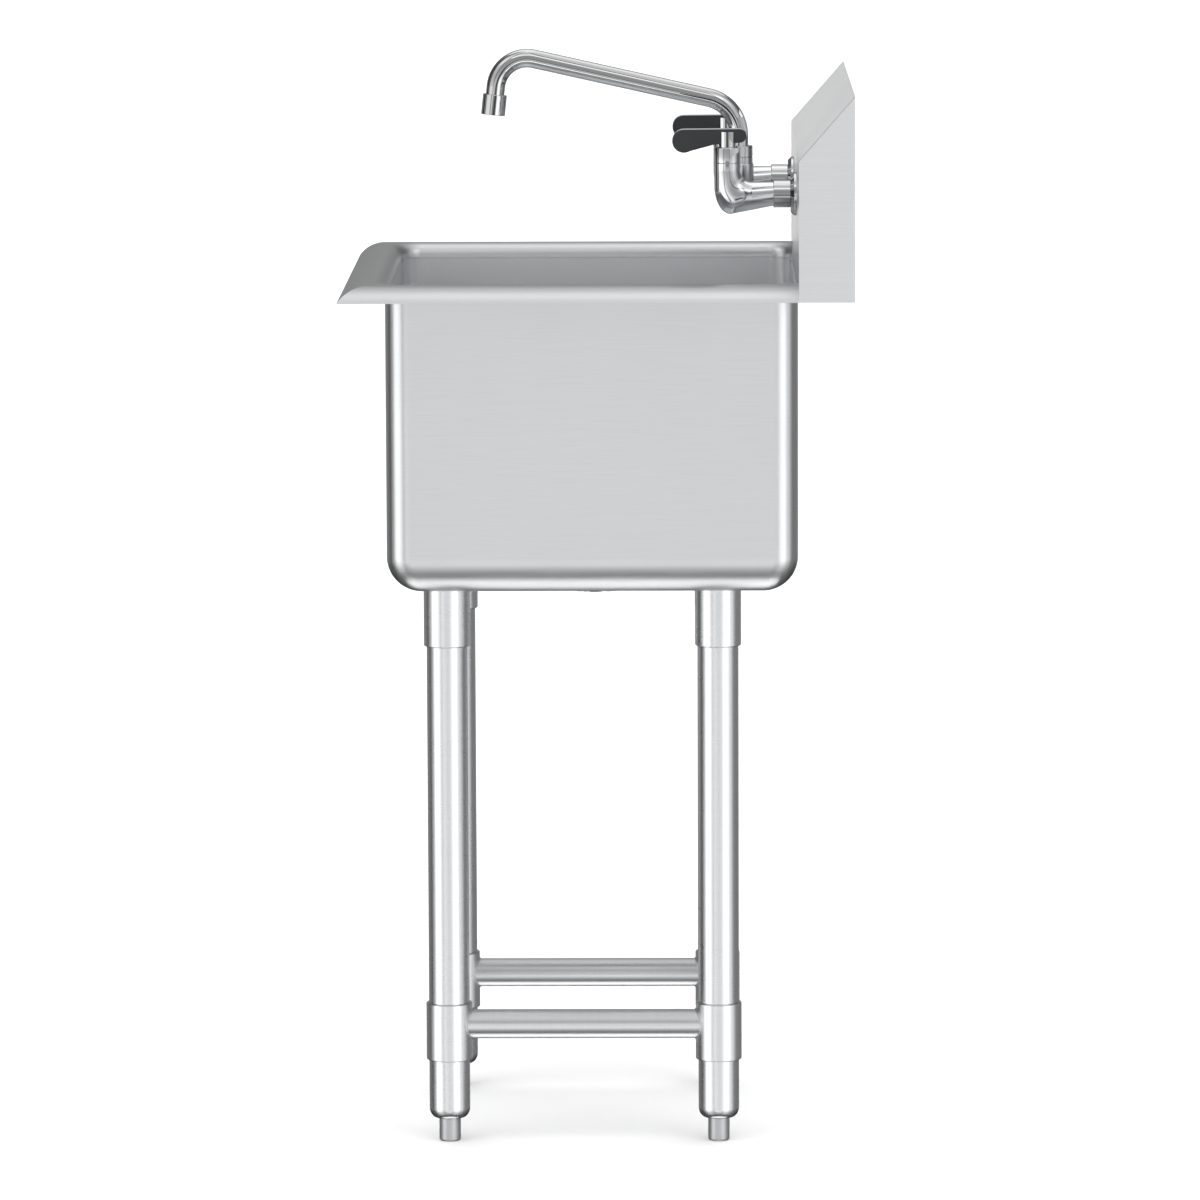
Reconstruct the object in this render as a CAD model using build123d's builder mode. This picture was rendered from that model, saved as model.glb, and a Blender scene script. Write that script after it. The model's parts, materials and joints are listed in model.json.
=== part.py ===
"""Free-standing utility sink: a coved steel bowl with rolled rims and a sloped backsplash, on four
tube legs with two side rails, with a splash-mount faucet that has a swing spout and two levers.

Millimetres, +Z up. The origin is on the floor, under the middle of the outline: -Y is the front,
+Y the wall, +X the cold-water side.
"""

import os
from math import asin, atan2, cos, degrees, radians, sin, sqrt, tan

from build123d import *

os.makedirs("parts", exist_ok=True)

# ---------------------------------------------------------------- driving dimensions
# Sheet metal bowl
SHEET = 1.5  # wall of the bowl, rims and backsplash
BOWL_WIDTH = 458.0  # inside, along X
BOWL_LENGTH = 408.5  # inside, front to back
BOWL_DEPTH = 311.2  # rim crest down to the inside floor
COVE_RADIUS = 34.5  # inside floor edges
CORNER_RADIUS = 22.5  # inside vertical corners
RIM_HEIGHT = 884.5  # rim crest above the floor
DISH_MARGIN = 49.75  # flat strip of the floor between the coves and its fall to the drain
DISH_FALL = 3.0

# Rolled rim
RIM_RUN = 31.0  # crest out to the lip
RIM_DROP = 16.0  # crest down to the lip
RIM_FLAT = 1.0
RIM_LAND = 1.15  # straight wall left under the roll that turns the crest into the bowl

# Backsplash
SPLASH_DEPTH = 55.15
SPLASH_RISE = 141.0  # lip up to the start of the slope
SLOPE_RISE = 63.0
SPLASH_HEM = 25.0  # strip turned down behind the slope
END_FLANGE = 20.0  # strip turned inward behind each end panel
BEND_LAND = 0.15  # sheet left square inside that strip's bend

# Legs
LEG_SIDE_INSET = 86.5  # leg axes in from the inside of the bowl's walls
LEG_FRONT_INSET = 56.1
LEG_BACK_INSET = 78.4
LEG_RADIUS = 20.64
LEG_WALL = 1.2
SLIP = 0.1  # radial gap of tubes in sockets and collars
SOCKET_WALL = 2.61
SOCKET_LENGTH = 62.4
SOCKET_CAP = 4.0
WELD_LEG = 2.5
COLLAR_WALL = 2.61
COLLAR_LENGTH = 58.6
COLLAR_LOW = 6.5  # middle of a collar below the rail axis
RAIL_HEIGHT = 120.4
RAIL_RADIUS = 14.8
RAIL_WALL = 1.2
EDGE_ROUND = 1.0
GRUB_RADIUS = 4.0
GRUB_PROUD = 0.8
GRUB_KEY_RADIUS = 2.0
GRUB_KEY_DEPTH = 2.0
SOCKET_GRUB_UP = 18.0  # above the open end of a socket

# Feet
FOOT_EXPOSED = 24.1  # stub below the bullet
BULLET_HEIGHT = 10.4
BULLET_NOSE_RADIUS = 13.0
SPIGOT_LENGTH = 46.0
SPIGOT_GAP = 0.1
STUB_RADIUS = 10.95
STUB_ROUND = 2.5
ROD_RADIUS = 8.0
ROD_LENGTH = 44.0
ROD_GAP = 0.05

# Drain
RECESS_DEPTH = 5.0
RECESS_GAP = 3.0  # recess wall around the drain's flange
DRAIN_BODY_RADIUS = 37.0
DRAIN_HOLE_GAP = 0.5
DRAIN_OVERLAP = 7.0  # flange and nut beyond the body
DRAIN_FLANGE = 1.8
DRAIN_CUP_WALL = 2.5
DRAIN_CUP_DEPTH = 5.0  # flange face down to the ledge that holds the strainer
DRAIN_LEDGE = 11.5
DRAIN_BODY_LENGTH = 16.0  # below the recess floor
GASKET = 2.0
DRAIN_NUT = 6.0
NUT_LUGS = 6
LUG_WIDTH = 10.0
LUG_DEPTH = 4.0
STRAINER_GAP = 0.5
STRAINER_PLATE = 1.5
STRAINER_HOLE_RADIUS = 2.4
STRAINER_MARGIN = 6.0  # plate edge in to the outermost ring of holes
STRAINER_RING_STEP = 7.5
STRAINER_RING_HOLES = (20, 14, 8)  # outermost ring first
KNOB_STEM_RADIUS = 3.0
KNOB_STEM_HEIGHT = 8.0
KNOB_RADIUS = 7.0
KNOB_HEIGHT = 5.0

# Faucet, wall side
INLET_CENTRES = 203.2
INLET_RISE = 94.0  # inlet axis above the rim lip
SHANK_RADIUS = 10.48
SHANK_BORE = 7.5
SHANK_TAIL = 45.0  # behind the backsplash face
SHANK_RELIEF = 0.2  # a shank is slimmer by this where nuts and flange cover it
SHANK_CLEAR = 0.5  # full thread starts this far behind the lock nut
HOLE_GAP = 1.5
FLANGE_RADIUS = 21.9
FLANGE_THICK = 6.0
FLANGE_LAND_RADIUS = 18.6
FLANGE_STEP = 2.6
UNION_RADIUS = 14.0
UNION_LENGTH = 17.4
UNION_WEB = 2.6
UNION_CHAMFER = 0.6
THREAD_GAP = 0.1
WASHER = 2.0
WASHER_RADIUS = 16.0
LOCK_NUT = 6.0
LOCK_NUT_FLATS = 30.0

# Faucet body
VALVE_REACH = 69.75  # valve axis ahead of the backsplash face
COLUMN_WALL = 2.6
ELBOW_RADIUS = 15.2
ELBOW_BACK = 1.8  # elbow centre behind the valve axis
ELBOW_DROP = 5.3  # elbow centre below the inlet axis
ARM_END_RADIUS = 12.2
ARM_INNER_ROUND = 8.0
ARM_PIVOT_RISE = 18.2  # inlet axis up to the centre of that round
NOSE_RADIUS = 9.4
NOSE_LENGTH = 4.6
COLUMN_RISE = 29.5  # inlet axis up to the column top
COLUMN_BORE_DEPTH = 22.0
BRIDGE_RADIUS = 11.0
BRIDGE_BACK = 5.0
BRIDGE_DROP = 3.5
SPOUT_BACK = 12.55  # spout axis behind the valve axes
BOSS_WALL = 3.4
BOSS_DROP = 5.0
BOSS_RISE = 23.2  # inlet axis up to the boss top

# Valves and levers
BONNET_PROUD = 0.1  # beyond the column
BONNET_HEIGHT = 15.6
BONNET_CHAMFER = 1.6
CARTRIDGE_GAP = 0.1
CARTRIDGE_TOP = 8.0  # above the column top
STEM_RADIUS = 4.0
RUNNING_GAP = 0.05
STEM_BOTTOM = 12.0  # below the column top
HUB_RADIUS = 8.75
HUB_STEP = 1.75  # bore of a column beyond the hub
HUB_SINK = 4.0  # hub end below the bonnet top
HUB_CAP = 7.2  # solid top of the hub above the stem
LEVER_TOP = 36.3  # above the column top
LEVER_WEB = 3.1  # lever top down to the hub
LEVER_WIDTH = 12.6
LEVER_PALM_RADIUS = 11.8
LEVER_PALM_REACH = 43.6
LEVER_PALM_DROP = 12.2
LEVER_TAIL_RADIUS = 7.0
LEVER_TAIL_REACH = 12.4
LEVER_NECK = 15.6  # depth of the lever at the hub
LEVER_NECK_REACH = 12.0
LEVER_EDGE = 0.8
HUB_SEAT_GAP = 0.05
BUTTON_RADIUS = 5.0
BUTTON_THICK = 1.2
SCREW_HEAD_RADIUS = 3.6
SCREW_HEAD = 1.8
SCREW_RADIUS = 2.0
SCREW_LENGTH = 12.0

# Spout
SPOUT_RADIUS = 9.525
SPOUT_WALL = 1.2
SPOUT_SINK = 20.7  # tube end below the boss top
SPOUT_BEND_BACK = 39.0
SPOUT_BEND_FRONT = 32.0
SPOUT_CORNER_RISE = 60.0  # boss top up to the corner of the back bend
SPOUT_SLOPE = 12.65  # degrees up towards the front
SPOUT_REACH = 243.9  # post axis out to the corner of the front bend
SPOUT_TIP_LEAN = 6.1  # degrees that the outlet leans forward
NOZZLE_DROP = 44.3  # front corner down to the nozzle, along its axis
NOZZLE_WALL = 2.725  # around the tube
NOZZLE_LENGTH = 20.8
NOZZLE_SEAT = 8.0
NOZZLE_STEP = 0.925  # ledge that the tube end rests on
SPOUT_NUT_WALL = 2.8
SPOUT_NUT_HEIGHT = 17.9
SPOUT_NUT_GROOVE = 6.7
COLLAR_RING = 2.0
COLLAR_RING_PROUD = 1.675
SEAL_WALL = 2.075
SEAL_HEIGHT = 8.0

# ---------------------------------------------------------------- places worked out from them
rim_roll = RIM_DROP - RIM_LAND
rim_width = RIM_RUN + RIM_FLAT + rim_roll
half_width = BOWL_WIDTH / 2 + rim_width
half_length = (rim_width + BOWL_LENGTH + SHEET + SPLASH_DEPTH) / 2
splash_y = half_length - SPLASH_DEPTH
bowl_y = splash_y - SHEET - BOWL_LENGTH / 2
lip_z = RIM_HEIGHT - RIM_DROP
floor_z = RIM_HEIGHT - BOWL_DEPTH
under_z = floor_z - SHEET
slope_z = lip_z + SPLASH_RISE
top_z = slope_z + SLOPE_RISE
dish_radius = BOWL_LENGTH / 2 - COVE_RADIUS - DISH_MARGIN
recess_z = floor_z - DISH_FALL - RECESS_DEPTH

leg_x = BOWL_WIDTH / 2 - LEG_SIDE_INSET
rear_leg_y = bowl_y + BOWL_LENGTH / 2 - LEG_BACK_INSET
front_leg_y = bowl_y - BOWL_LENGTH / 2 + LEG_FRONT_INSET
LEGS = {
    "front_left": (-leg_x, front_leg_y),
    "front_right": (leg_x, front_leg_y),
    "rear_left": (-leg_x, rear_leg_y),
    "rear_right": (leg_x, rear_leg_y),
}
SIDES = {"left": -1, "right": 1}
socket_radius = LEG_RADIUS + SLIP + SOCKET_WALL
collar_radius = LEG_RADIUS + SLIP + COLLAR_WALL
tube_bottom = FOOT_EXPOSED + BULLET_HEIGHT
tube_top = under_z - SOCKET_CAP
socket_bottom = under_z - SOCKET_LENGTH
collar_bottom = RAIL_HEIGHT - COLLAR_LOW - COLLAR_LENGTH / 2

inlet_z = lip_z + INLET_RISE
valve_y = splash_y - VALVE_REACH
column_top = inlet_z + COLUMN_RISE
elbow_y = valve_y + ELBOW_BACK
elbow_z = inlet_z - ELBOW_DROP
union_y = splash_y - FLANGE_THICK - UNION_LENGTH  # front face of the union nuts
washer_y = splash_y + SHEET
spout_y = valve_y + SPOUT_BACK
boss_top = inlet_z + BOSS_RISE
column_bore = HUB_RADIUS + HUB_STEP
column_radius = column_bore + COLUMN_WALL
seal_radius = SPOUT_RADIUS + SEAL_WALL
boss_radius = seal_radius + BOSS_WALL
flange_radius = DRAIN_BODY_RADIUS + DRAIN_OVERLAP
recess_radius = flange_radius + RECESS_GAP
cup_radius = DRAIN_BODY_RADIUS - DRAIN_CUP_WALL
outlet_radius = cup_radius - DRAIN_LEDGE
drain_face = recess_z + DRAIN_FLANGE
ledge_z = drain_face - DRAIN_CUP_DEPTH


def finish_piece(piece, label):
    """Names a finished sub-part and writes its file."""
    piece.part.label = label
    export_step(piece.part, f"parts/{label}.step")


# ---------------------------------------------------------------- bowl
def bowl_hull(grow):
    """Solid space of the bowl, from its floor to the rim lip, grown outward by a wall."""
    low = floor_z - grow
    with BuildPart() as hull:
        with BuildSketch(Plane.XY.offset(low)):
            with Locations((0, bowl_y)):
                RectangleRounded(
                    BOWL_WIDTH + 2 * grow, BOWL_LENGTH + 2 * grow, CORNER_RADIUS + grow
                )
        extrude(amount=lip_z - low)
        fillet(hull.edges().group_by(Axis.Z)[0], radius=COVE_RADIUS + grow)
        with BuildSketch(Plane.XZ.offset(-bowl_y)):
            with BuildLine():
                Polyline(
                    (0, low + SHEET),
                    (dish_radius, low + SHEET),
                    (dish_radius, low),
                    (recess_radius + grow, low - DISH_FALL),
                    (recess_radius + grow, low - DISH_FALL - RECESS_DEPTH),
                    (0, low - DISH_FALL - RECESS_DEPTH),
                    close=True,
                )
            make_face()
        revolve(axis=Axis((0, bowl_y, 0), (0, 0, 1)))
    return hull.part


with BuildPart() as bowl:
    add(bowl_hull(SHEET))
    add(bowl_hull(0), mode=Mode.SUBTRACT)
    with BuildSketch(Plane.XY.offset(recess_z - 2 * SHEET)):
        with Locations((0, bowl_y)):
            Circle(DRAIN_BODY_RADIUS + DRAIN_HOLE_GAP)
    extrude(amount=3 * SHEET, mode=Mode.SUBTRACT)
finish_piece(bowl, "bowl")


# ---------------------------------------------------------------- rolled rims
def rim_block(inset):
    """Ring under the rim's skin: the outer face for no inset, the inner face for one sheet."""
    arc_radius = (RIM_RUN**2 + RIM_DROP**2) / (2 * RIM_DROP) - inset
    crest = RIM_HEIGHT - inset
    centre = crest - arc_radius
    run = sqrt(arc_radius**2 - (lip_z - centre) ** 2)
    half = atan2(run, lip_z - centre) / 2
    bend = (arc_radius * sin(half), centre + arc_radius * cos(half))
    crest_x = half_width - RIM_RUN
    crest_y = half_length - RIM_RUN
    back = splash_y + 2 * rim_width
    with BuildPart() as block:
        with BuildSketch(Plane.YZ):
            with BuildLine():
                ThreePointArc(
                    (-crest_y - run, lip_z), (-crest_y - bend[0], bend[1]), (-crest_y, crest)
                )
                Polyline(
                    (-crest_y, crest), (back, crest), (back, lip_z), (-crest_y - run, lip_z)
                )
            make_face()
        extrude(amount=half_width, both=True)
        with BuildSketch(Plane.XZ):
            with BuildLine():
                ThreePointArc(
                    (-crest_x - run, lip_z), (-crest_x - bend[0], bend[1]), (-crest_x, crest)
                )
                Line((-crest_x, crest), (crest_x, crest))
                ThreePointArc(
                    (crest_x, crest), (crest_x + bend[0], bend[1]), (crest_x + run, lip_z)
                )
                Line((crest_x + run, lip_z), (-crest_x - run, lip_z))
            make_face()
        extrude(amount=half_length + back, both=True, mode=Mode.INTERSECT)
        with BuildSketch(Plane.XY.offset(lip_z)):
            with Locations((0, bowl_y)):
                RectangleRounded(
                    BOWL_WIDTH + 2 * inset, BOWL_LENGTH + 2 * inset, CORNER_RADIUS + inset
                )
        extrude(amount=RIM_DROP, mode=Mode.SUBTRACT)
        opening = block.faces().sort_by(Axis.Z)[-1].inner_wires()[0]
        fillet(opening.edges(), radius=rim_roll - inset)
    return block.part


with BuildPart() as rim_ring:
    add(rim_block(0))
    add(rim_block(SHEET), mode=Mode.SUBTRACT)
    split(bisect_by=Plane.XZ.offset(-splash_y), keep=Keep.TOP)

MITRES = {
    side: Plane(origin=(sign * half_width, -half_length, 0), z_dir=(-sign, -1, 0))
    for side, sign in SIDES.items()
}
with BuildPart() as rim_front:
    add(rim_ring.part)
    for mitre in MITRES.values():
        split(bisect_by=mitre, keep=Keep.TOP)
finish_piece(rim_front, "rim_front")

with BuildPart() as rim_right:
    add(rim_ring.part)
    split(bisect_by=MITRES["right"], keep=Keep.BOTTOM)
    inner = Plane(origin=(BOWL_WIDTH / 2 - CORNER_RADIUS, 0, 0), z_dir=(1, 0, 0))
    split(bisect_by=inner, keep=Keep.TOP)
finish_piece(rim_right, "rim_right")

with BuildPart() as rim_left:
    mirror(rim_right.part, about=Plane.YZ)
finish_piece(rim_left, "rim_left")

# ---------------------------------------------------------------- backsplash
panel_x = half_width - SHEET
with BuildPart() as backsplash:
    with BuildSketch(Plane.YZ):
        with BuildLine():
            Polyline(
                (splash_y, lip_z),
                (splash_y, slope_z),
                (half_length, top_z),
                (half_length, top_z - SPLASH_HEM),
            )
            offset(amount=SHEET, kind=Kind.INTERSECTION, side=Side.RIGHT)
        make_face()
    extrude(amount=panel_x, both=True)
    with BuildSketch(Plane.XZ.offset(-splash_y)):
        with Locations((0, inlet_z)):
            with GridLocations(INLET_CENTRES, 0, 2, 1):
                Circle(SHANK_RADIUS + HOLE_GAP)
    extrude(amount=-2 * SHEET, mode=Mode.SUBTRACT)
finish_piece(backsplash, "backsplash")

for side, sign in SIDES.items():
    with BuildPart() as end_panel:
        with BuildSketch(Plane.YZ.offset(sign * panel_x)):
            Polygon(
                (splash_y, lip_z),
                (half_length, lip_z),
                (half_length, top_z),
                (splash_y, slope_z),
                align=None,
            )
        extrude(amount=sign * SHEET)
        with BuildSketch(Plane.XZ.offset(-half_length)):
            with Locations((sign * (panel_x - END_FLANGE / 2), lip_z)):
                Rectangle(
                    END_FLANGE, top_z - SPLASH_HEM - lip_z, align=(Align.CENTER, Align.MIN)
                )
        extrude(amount=SHEET)
        bend_edges = (
            end_panel.edges()
            .filter_by(Axis.Z)
            .filter_by_position(Axis.Y, half_length - EDGE_ROUND / 2, half_length + EDGE_ROUND)
        )
        outer_bend = bend_edges.sort_by(lambda edge: -sign * edge.center().X)[0]
        fillet(outer_bend, radius=SHEET - BEND_LAND)
    finish_piece(end_panel, f"backsplash_end_{side}")

# ---------------------------------------------------------------- legs
for name, (x, y) in LEGS.items():
    inward = -1 if x > 0 else 1
    with BuildPart() as leg_socket:
        with BuildSketch(Plane.XZ.offset(-y)):
            with BuildLine():
                Polyline(
                    (x, under_z),
                    (x + socket_radius + WELD_LEG, under_z),
                    (x + socket_radius, under_z - WELD_LEG),
                    (x + socket_radius, socket_bottom),
                    (x + LEG_RADIUS + SLIP, socket_bottom),
                    (x + LEG_RADIUS + SLIP, tube_top),
                    (x, tube_top),
                    close=True,
                )
            make_face()
        revolve(axis=Axis((x, y, 0), (0, 0, 1)))
        fillet(leg_socket.edges().group_by(Axis.Z)[0].sort_by(SortBy.RADIUS)[-1], EDGE_ROUND)
        with BuildSketch(Plane.YZ.offset(x)):
            with Locations((y, socket_bottom + SOCKET_GRUB_UP)):
                Circle(GRUB_RADIUS)
        extrude(amount=inward * 2 * socket_radius, mode=Mode.SUBTRACT)
    finish_piece(leg_socket, f"leg_socket_{name}")

    with BuildPart() as leg_tube:
        with BuildSketch(Plane.XY.offset(tube_bottom)):
            with Locations((x, y)):
                Circle(LEG_RADIUS)
                Circle(LEG_RADIUS - LEG_WALL, mode=Mode.SUBTRACT)
        extrude(amount=tube_top - tube_bottom)
    finish_piece(leg_tube, f"leg_tube_{name}")

    with BuildPart() as rail_collar:
        with BuildSketch(Plane.XY.offset(collar_bottom)):
            with Locations((x, y)):
                Circle(collar_radius)
        extrude(amount=COLLAR_LENGTH)
        fillet(rail_collar.edges(), radius=EDGE_ROUND)
        with BuildSketch(Plane.XY.offset(collar_bottom)):
            with Locations((x, y)):
                Circle(LEG_RADIUS + SLIP)
        extrude(amount=COLLAR_LENGTH, mode=Mode.SUBTRACT)
        with BuildSketch(Plane.YZ.offset(x)):
            with Locations((y, RAIL_HEIGHT)):
                Circle(GRUB_RADIUS)
        extrude(amount=inward * 2 * collar_radius, mode=Mode.SUBTRACT)
    finish_piece(rail_collar, f"rail_collar_{name}")

    with BuildPart() as bullet_foot:
        nose_z = tube_bottom - BULLET_HEIGHT
        spigot_radius = LEG_RADIUS - LEG_WALL - SPIGOT_GAP
        with BuildSketch(Plane.XZ.offset(-y)):
            with BuildLine():
                Line((x + ROD_RADIUS + ROD_GAP, nose_z), (x + BULLET_NOSE_RADIUS, nose_z))
                EllipticalCenterArc(
                    (x + BULLET_NOSE_RADIUS, tube_bottom),
                    LEG_RADIUS - BULLET_NOSE_RADIUS,
                    BULLET_HEIGHT,
                    start_angle=270,
                    arc_size=90,
                )
                Polyline(
                    (x + LEG_RADIUS, tube_bottom),
                    (x + spigot_radius, tube_bottom),
                    (x + spigot_radius, tube_bottom + SPIGOT_LENGTH),
                    (x + ROD_RADIUS + ROD_GAP, tube_bottom + SPIGOT_LENGTH),
                    (x + ROD_RADIUS + ROD_GAP, nose_z),
                )
            make_face()
        revolve(axis=Axis((x, y, 0), (0, 0, 1)))
    finish_piece(bullet_foot, f"bullet_foot_{name}")

    with BuildPart() as foot_stem:
        with BuildSketch(Plane.XY):
            with Locations((x, y)):
                Circle(STUB_RADIUS)
        extrude(amount=FOOT_EXPOSED)
        fillet(foot_stem.edges().group_by(Axis.Z)[0], radius=STUB_ROUND)
        with BuildSketch(Plane.XY.offset(FOOT_EXPOSED)):
            with Locations((x, y)):
                Circle(ROD_RADIUS)
        extrude(amount=ROD_LENGTH)
        chamfer(foot_stem.edges().group_by(Axis.Z)[-1], length=EDGE_ROUND)
    finish_piece(foot_stem, f"foot_stem_{name}")

with BuildPart() as leg_set_screws:
    for x, y in LEGS.values():
        inward = -1 if x > 0 else 1
        for height in (socket_bottom + SOCKET_GRUB_UP, RAIL_HEIGHT):
            start = Plane(
                origin=(x + inward * (LEG_RADIUS + SLIP / 2), y, height), z_dir=(inward, 0, 0)
            )
            length = socket_radius - LEG_RADIUS - SLIP / 2 + GRUB_PROUD
            with BuildSketch(start):
                Circle(GRUB_RADIUS - SLIP / 2)
            extrude(amount=length)
            with BuildSketch(start.offset(length)):
                RegularPolygon(GRUB_KEY_RADIUS, 6)
            extrude(amount=-GRUB_KEY_DEPTH, mode=Mode.SUBTRACT)
finish_piece(leg_set_screws, "leg_set_screws")

for side, sign in SIDES.items():
    with BuildPart() as side_rail:
        with BuildSketch(Plane.XZ.offset(-front_leg_y)):
            with Locations((sign * leg_x, RAIL_HEIGHT)):
                Circle(RAIL_RADIUS)
                Circle(RAIL_RADIUS - RAIL_WALL, mode=Mode.SUBTRACT)
        extrude(amount=front_leg_y - rear_leg_y)
        for end_y in (front_leg_y, rear_leg_y):
            with BuildSketch(Plane.XY.offset(RAIL_HEIGHT - 2 * RAIL_RADIUS)):
                with Locations((sign * leg_x, end_y)):
                    Circle(collar_radius)
            extrude(amount=4 * RAIL_RADIUS, mode=Mode.SUBTRACT)
    finish_piece(side_rail, f"side_rail_{side}")

# ---------------------------------------------------------------- drain
drain_bottom = recess_z - DRAIN_BODY_LENGTH
drain_axis = Axis((0, bowl_y, 0), (0, 0, 1))
with BuildPart() as drain_body:
    with BuildSketch(Plane.XZ.offset(-bowl_y)):
        Polygon(
            (outlet_radius, drain_bottom),
            (DRAIN_BODY_RADIUS, drain_bottom),
            (DRAIN_BODY_RADIUS, recess_z),
            (flange_radius, recess_z),
            (flange_radius - DRAIN_FLANGE / 2, drain_face),
            (cup_radius, drain_face),
            (cup_radius, ledge_z),
            (outlet_radius, ledge_z),
            align=None,
        )
    revolve(axis=drain_axis)
finish_piece(drain_body, "drain_body")

gasket_top = recess_z - SHEET
with BuildPart() as drain_gasket:
    with BuildSketch(Plane.XY.offset(gasket_top - GASKET)):
        with Locations((0, bowl_y)):
            Circle(flange_radius - EDGE_ROUND)
            Circle(DRAIN_BODY_RADIUS + THREAD_GAP, mode=Mode.SUBTRACT)
    extrude(amount=GASKET)
finish_piece(drain_gasket, "drain_gasket")

with BuildPart() as drain_nut:
    with BuildSketch(Plane.XY.offset(gasket_top - GASKET - DRAIN_NUT)):
        with Locations((0, bowl_y)):
            Circle(flange_radius)
            with PolarLocations(flange_radius, NUT_LUGS):
                Rectangle(LUG_DEPTH, LUG_WIDTH, mode=Mode.SUBTRACT)
            Circle(DRAIN_BODY_RADIUS + THREAD_GAP, mode=Mode.SUBTRACT)
    extrude(amount=DRAIN_NUT)
finish_piece(drain_nut, "drain_nut")

strainer_radius = cup_radius - STRAINER_GAP
outer_ring = strainer_radius - STRAINER_MARGIN
with BuildPart() as strainer:
    with BuildSketch(Plane.XY.offset(ledge_z)):
        with Locations((0, bowl_y)):
            Circle(strainer_radius)
            for ring, count in enumerate(STRAINER_RING_HOLES):
                with PolarLocations(outer_ring - ring * STRAINER_RING_STEP, count):
                    Circle(STRAINER_HOLE_RADIUS, mode=Mode.SUBTRACT)
    extrude(amount=STRAINER_PLATE)
    knob_z = ledge_z + STRAINER_PLATE
    with BuildSketch(Plane.XY.offset(knob_z)):
        with Locations((0, bowl_y)):
            Circle(KNOB_STEM_RADIUS)
    extrude(amount=KNOB_STEM_HEIGHT)
    with BuildSketch(Plane.XY.offset(knob_z + KNOB_STEM_HEIGHT)):
        with Locations((0, bowl_y)):
            Circle(KNOB_RADIUS)
    extrude(amount=KNOB_HEIGHT)
    fillet(strainer.edges().group_by(Axis.Z)[-1], radius=KNOB_HEIGHT / 2)
finish_piece(strainer, "strainer")

# ---------------------------------------------------------------- faucet, wall side
for side, sign in SIDES.items():
    x = sign * INLET_CENTRES / 2
    inlet_axis = Axis((x, 0, inlet_z), (0, 1, 0))
    bore = SHANK_RADIUS + THREAD_GAP
    with BuildPart() as wall_flange:
        with BuildSketch(Plane.XY.offset(inlet_z)):
            Polygon(
                (x + bore, splash_y),
                (x + FLANGE_RADIUS, splash_y),
                (x + FLANGE_RADIUS, splash_y - FLANGE_STEP),
                (x + FLANGE_LAND_RADIUS, splash_y - FLANGE_THICK),
                (x + bore, splash_y - FLANGE_THICK),
                align=None,
            )
        revolve(axis=inlet_axis)
    finish_piece(wall_flange, f"wall_flange_{side}")

    shank_y = union_y + NOSE_LENGTH
    thread_y = washer_y + WASHER + LOCK_NUT + SHANK_CLEAR
    with BuildPart() as inlet_shank:
        with BuildSketch(Plane.XZ.offset(-shank_y)):
            with Locations((x, inlet_z)):
                Circle(SHANK_RADIUS - SHANK_RELIEF)
                Circle(SHANK_BORE, mode=Mode.SUBTRACT)
        extrude(amount=shank_y - thread_y)
        with BuildSketch(Plane.XZ.offset(-thread_y)):
            with Locations((x, inlet_z)):
                Circle(SHANK_RADIUS)
                Circle(SHANK_BORE, mode=Mode.SUBTRACT)
        extrude(amount=thread_y - splash_y - SHANK_TAIL)
        chamfer(inlet_shank.edges().group_by(Axis.Y)[-1].sort_by(SortBy.RADIUS)[-1], EDGE_ROUND)
    finish_piece(inlet_shank, f"inlet_shank_{side}")

with BuildPart() as union_nuts:
    for sign in SIDES.values():
        x = sign * INLET_CENTRES / 2
        with BuildSketch(Plane.XY.offset(inlet_z)):
            Polygon(
                (x + NOSE_RADIUS + THREAD_GAP, union_y),
                (x + UNION_RADIUS - UNION_CHAMFER, union_y),
                (x + UNION_RADIUS, union_y + UNION_CHAMFER),
                (x + UNION_RADIUS, union_y + UNION_LENGTH - UNION_CHAMFER),
                (x + UNION_RADIUS - UNION_CHAMFER, union_y + UNION_LENGTH),
                (x + SHANK_RADIUS + THREAD_GAP, union_y + UNION_LENGTH),
                (x + SHANK_RADIUS + THREAD_GAP, union_y + UNION_WEB),
                (x + NOSE_RADIUS + THREAD_GAP, union_y + UNION_WEB),
                align=None,
            )
        revolve(axis=Axis((x, 0, inlet_z), (0, 1, 0)))
finish_piece(union_nuts, "union_nuts")

with BuildPart() as shank_washers:
    with BuildSketch(Plane.XZ.offset(-washer_y)):
        with Locations((0, inlet_z)):
            with GridLocations(INLET_CENTRES, 0, 2, 1):
                Circle(WASHER_RADIUS)
                Circle(SHANK_RADIUS + THREAD_GAP, mode=Mode.SUBTRACT)
    extrude(amount=-WASHER)
finish_piece(shank_washers, "shank_washers")

with BuildPart() as shank_lock_nuts:
    with BuildSketch(Plane.XZ.offset(-washer_y - WASHER)):
        with Locations((0, inlet_z)):
            with GridLocations(INLET_CENTRES, 0, 2, 1):
                RegularPolygon(LOCK_NUT_FLATS / 2, 6, major_radius=False)
                Circle(SHANK_RADIUS + THREAD_GAP, mode=Mode.SUBTRACT)
    extrude(amount=-LOCK_NUT)
finish_piece(shank_lock_nuts, "shank_lock_nuts")

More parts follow.
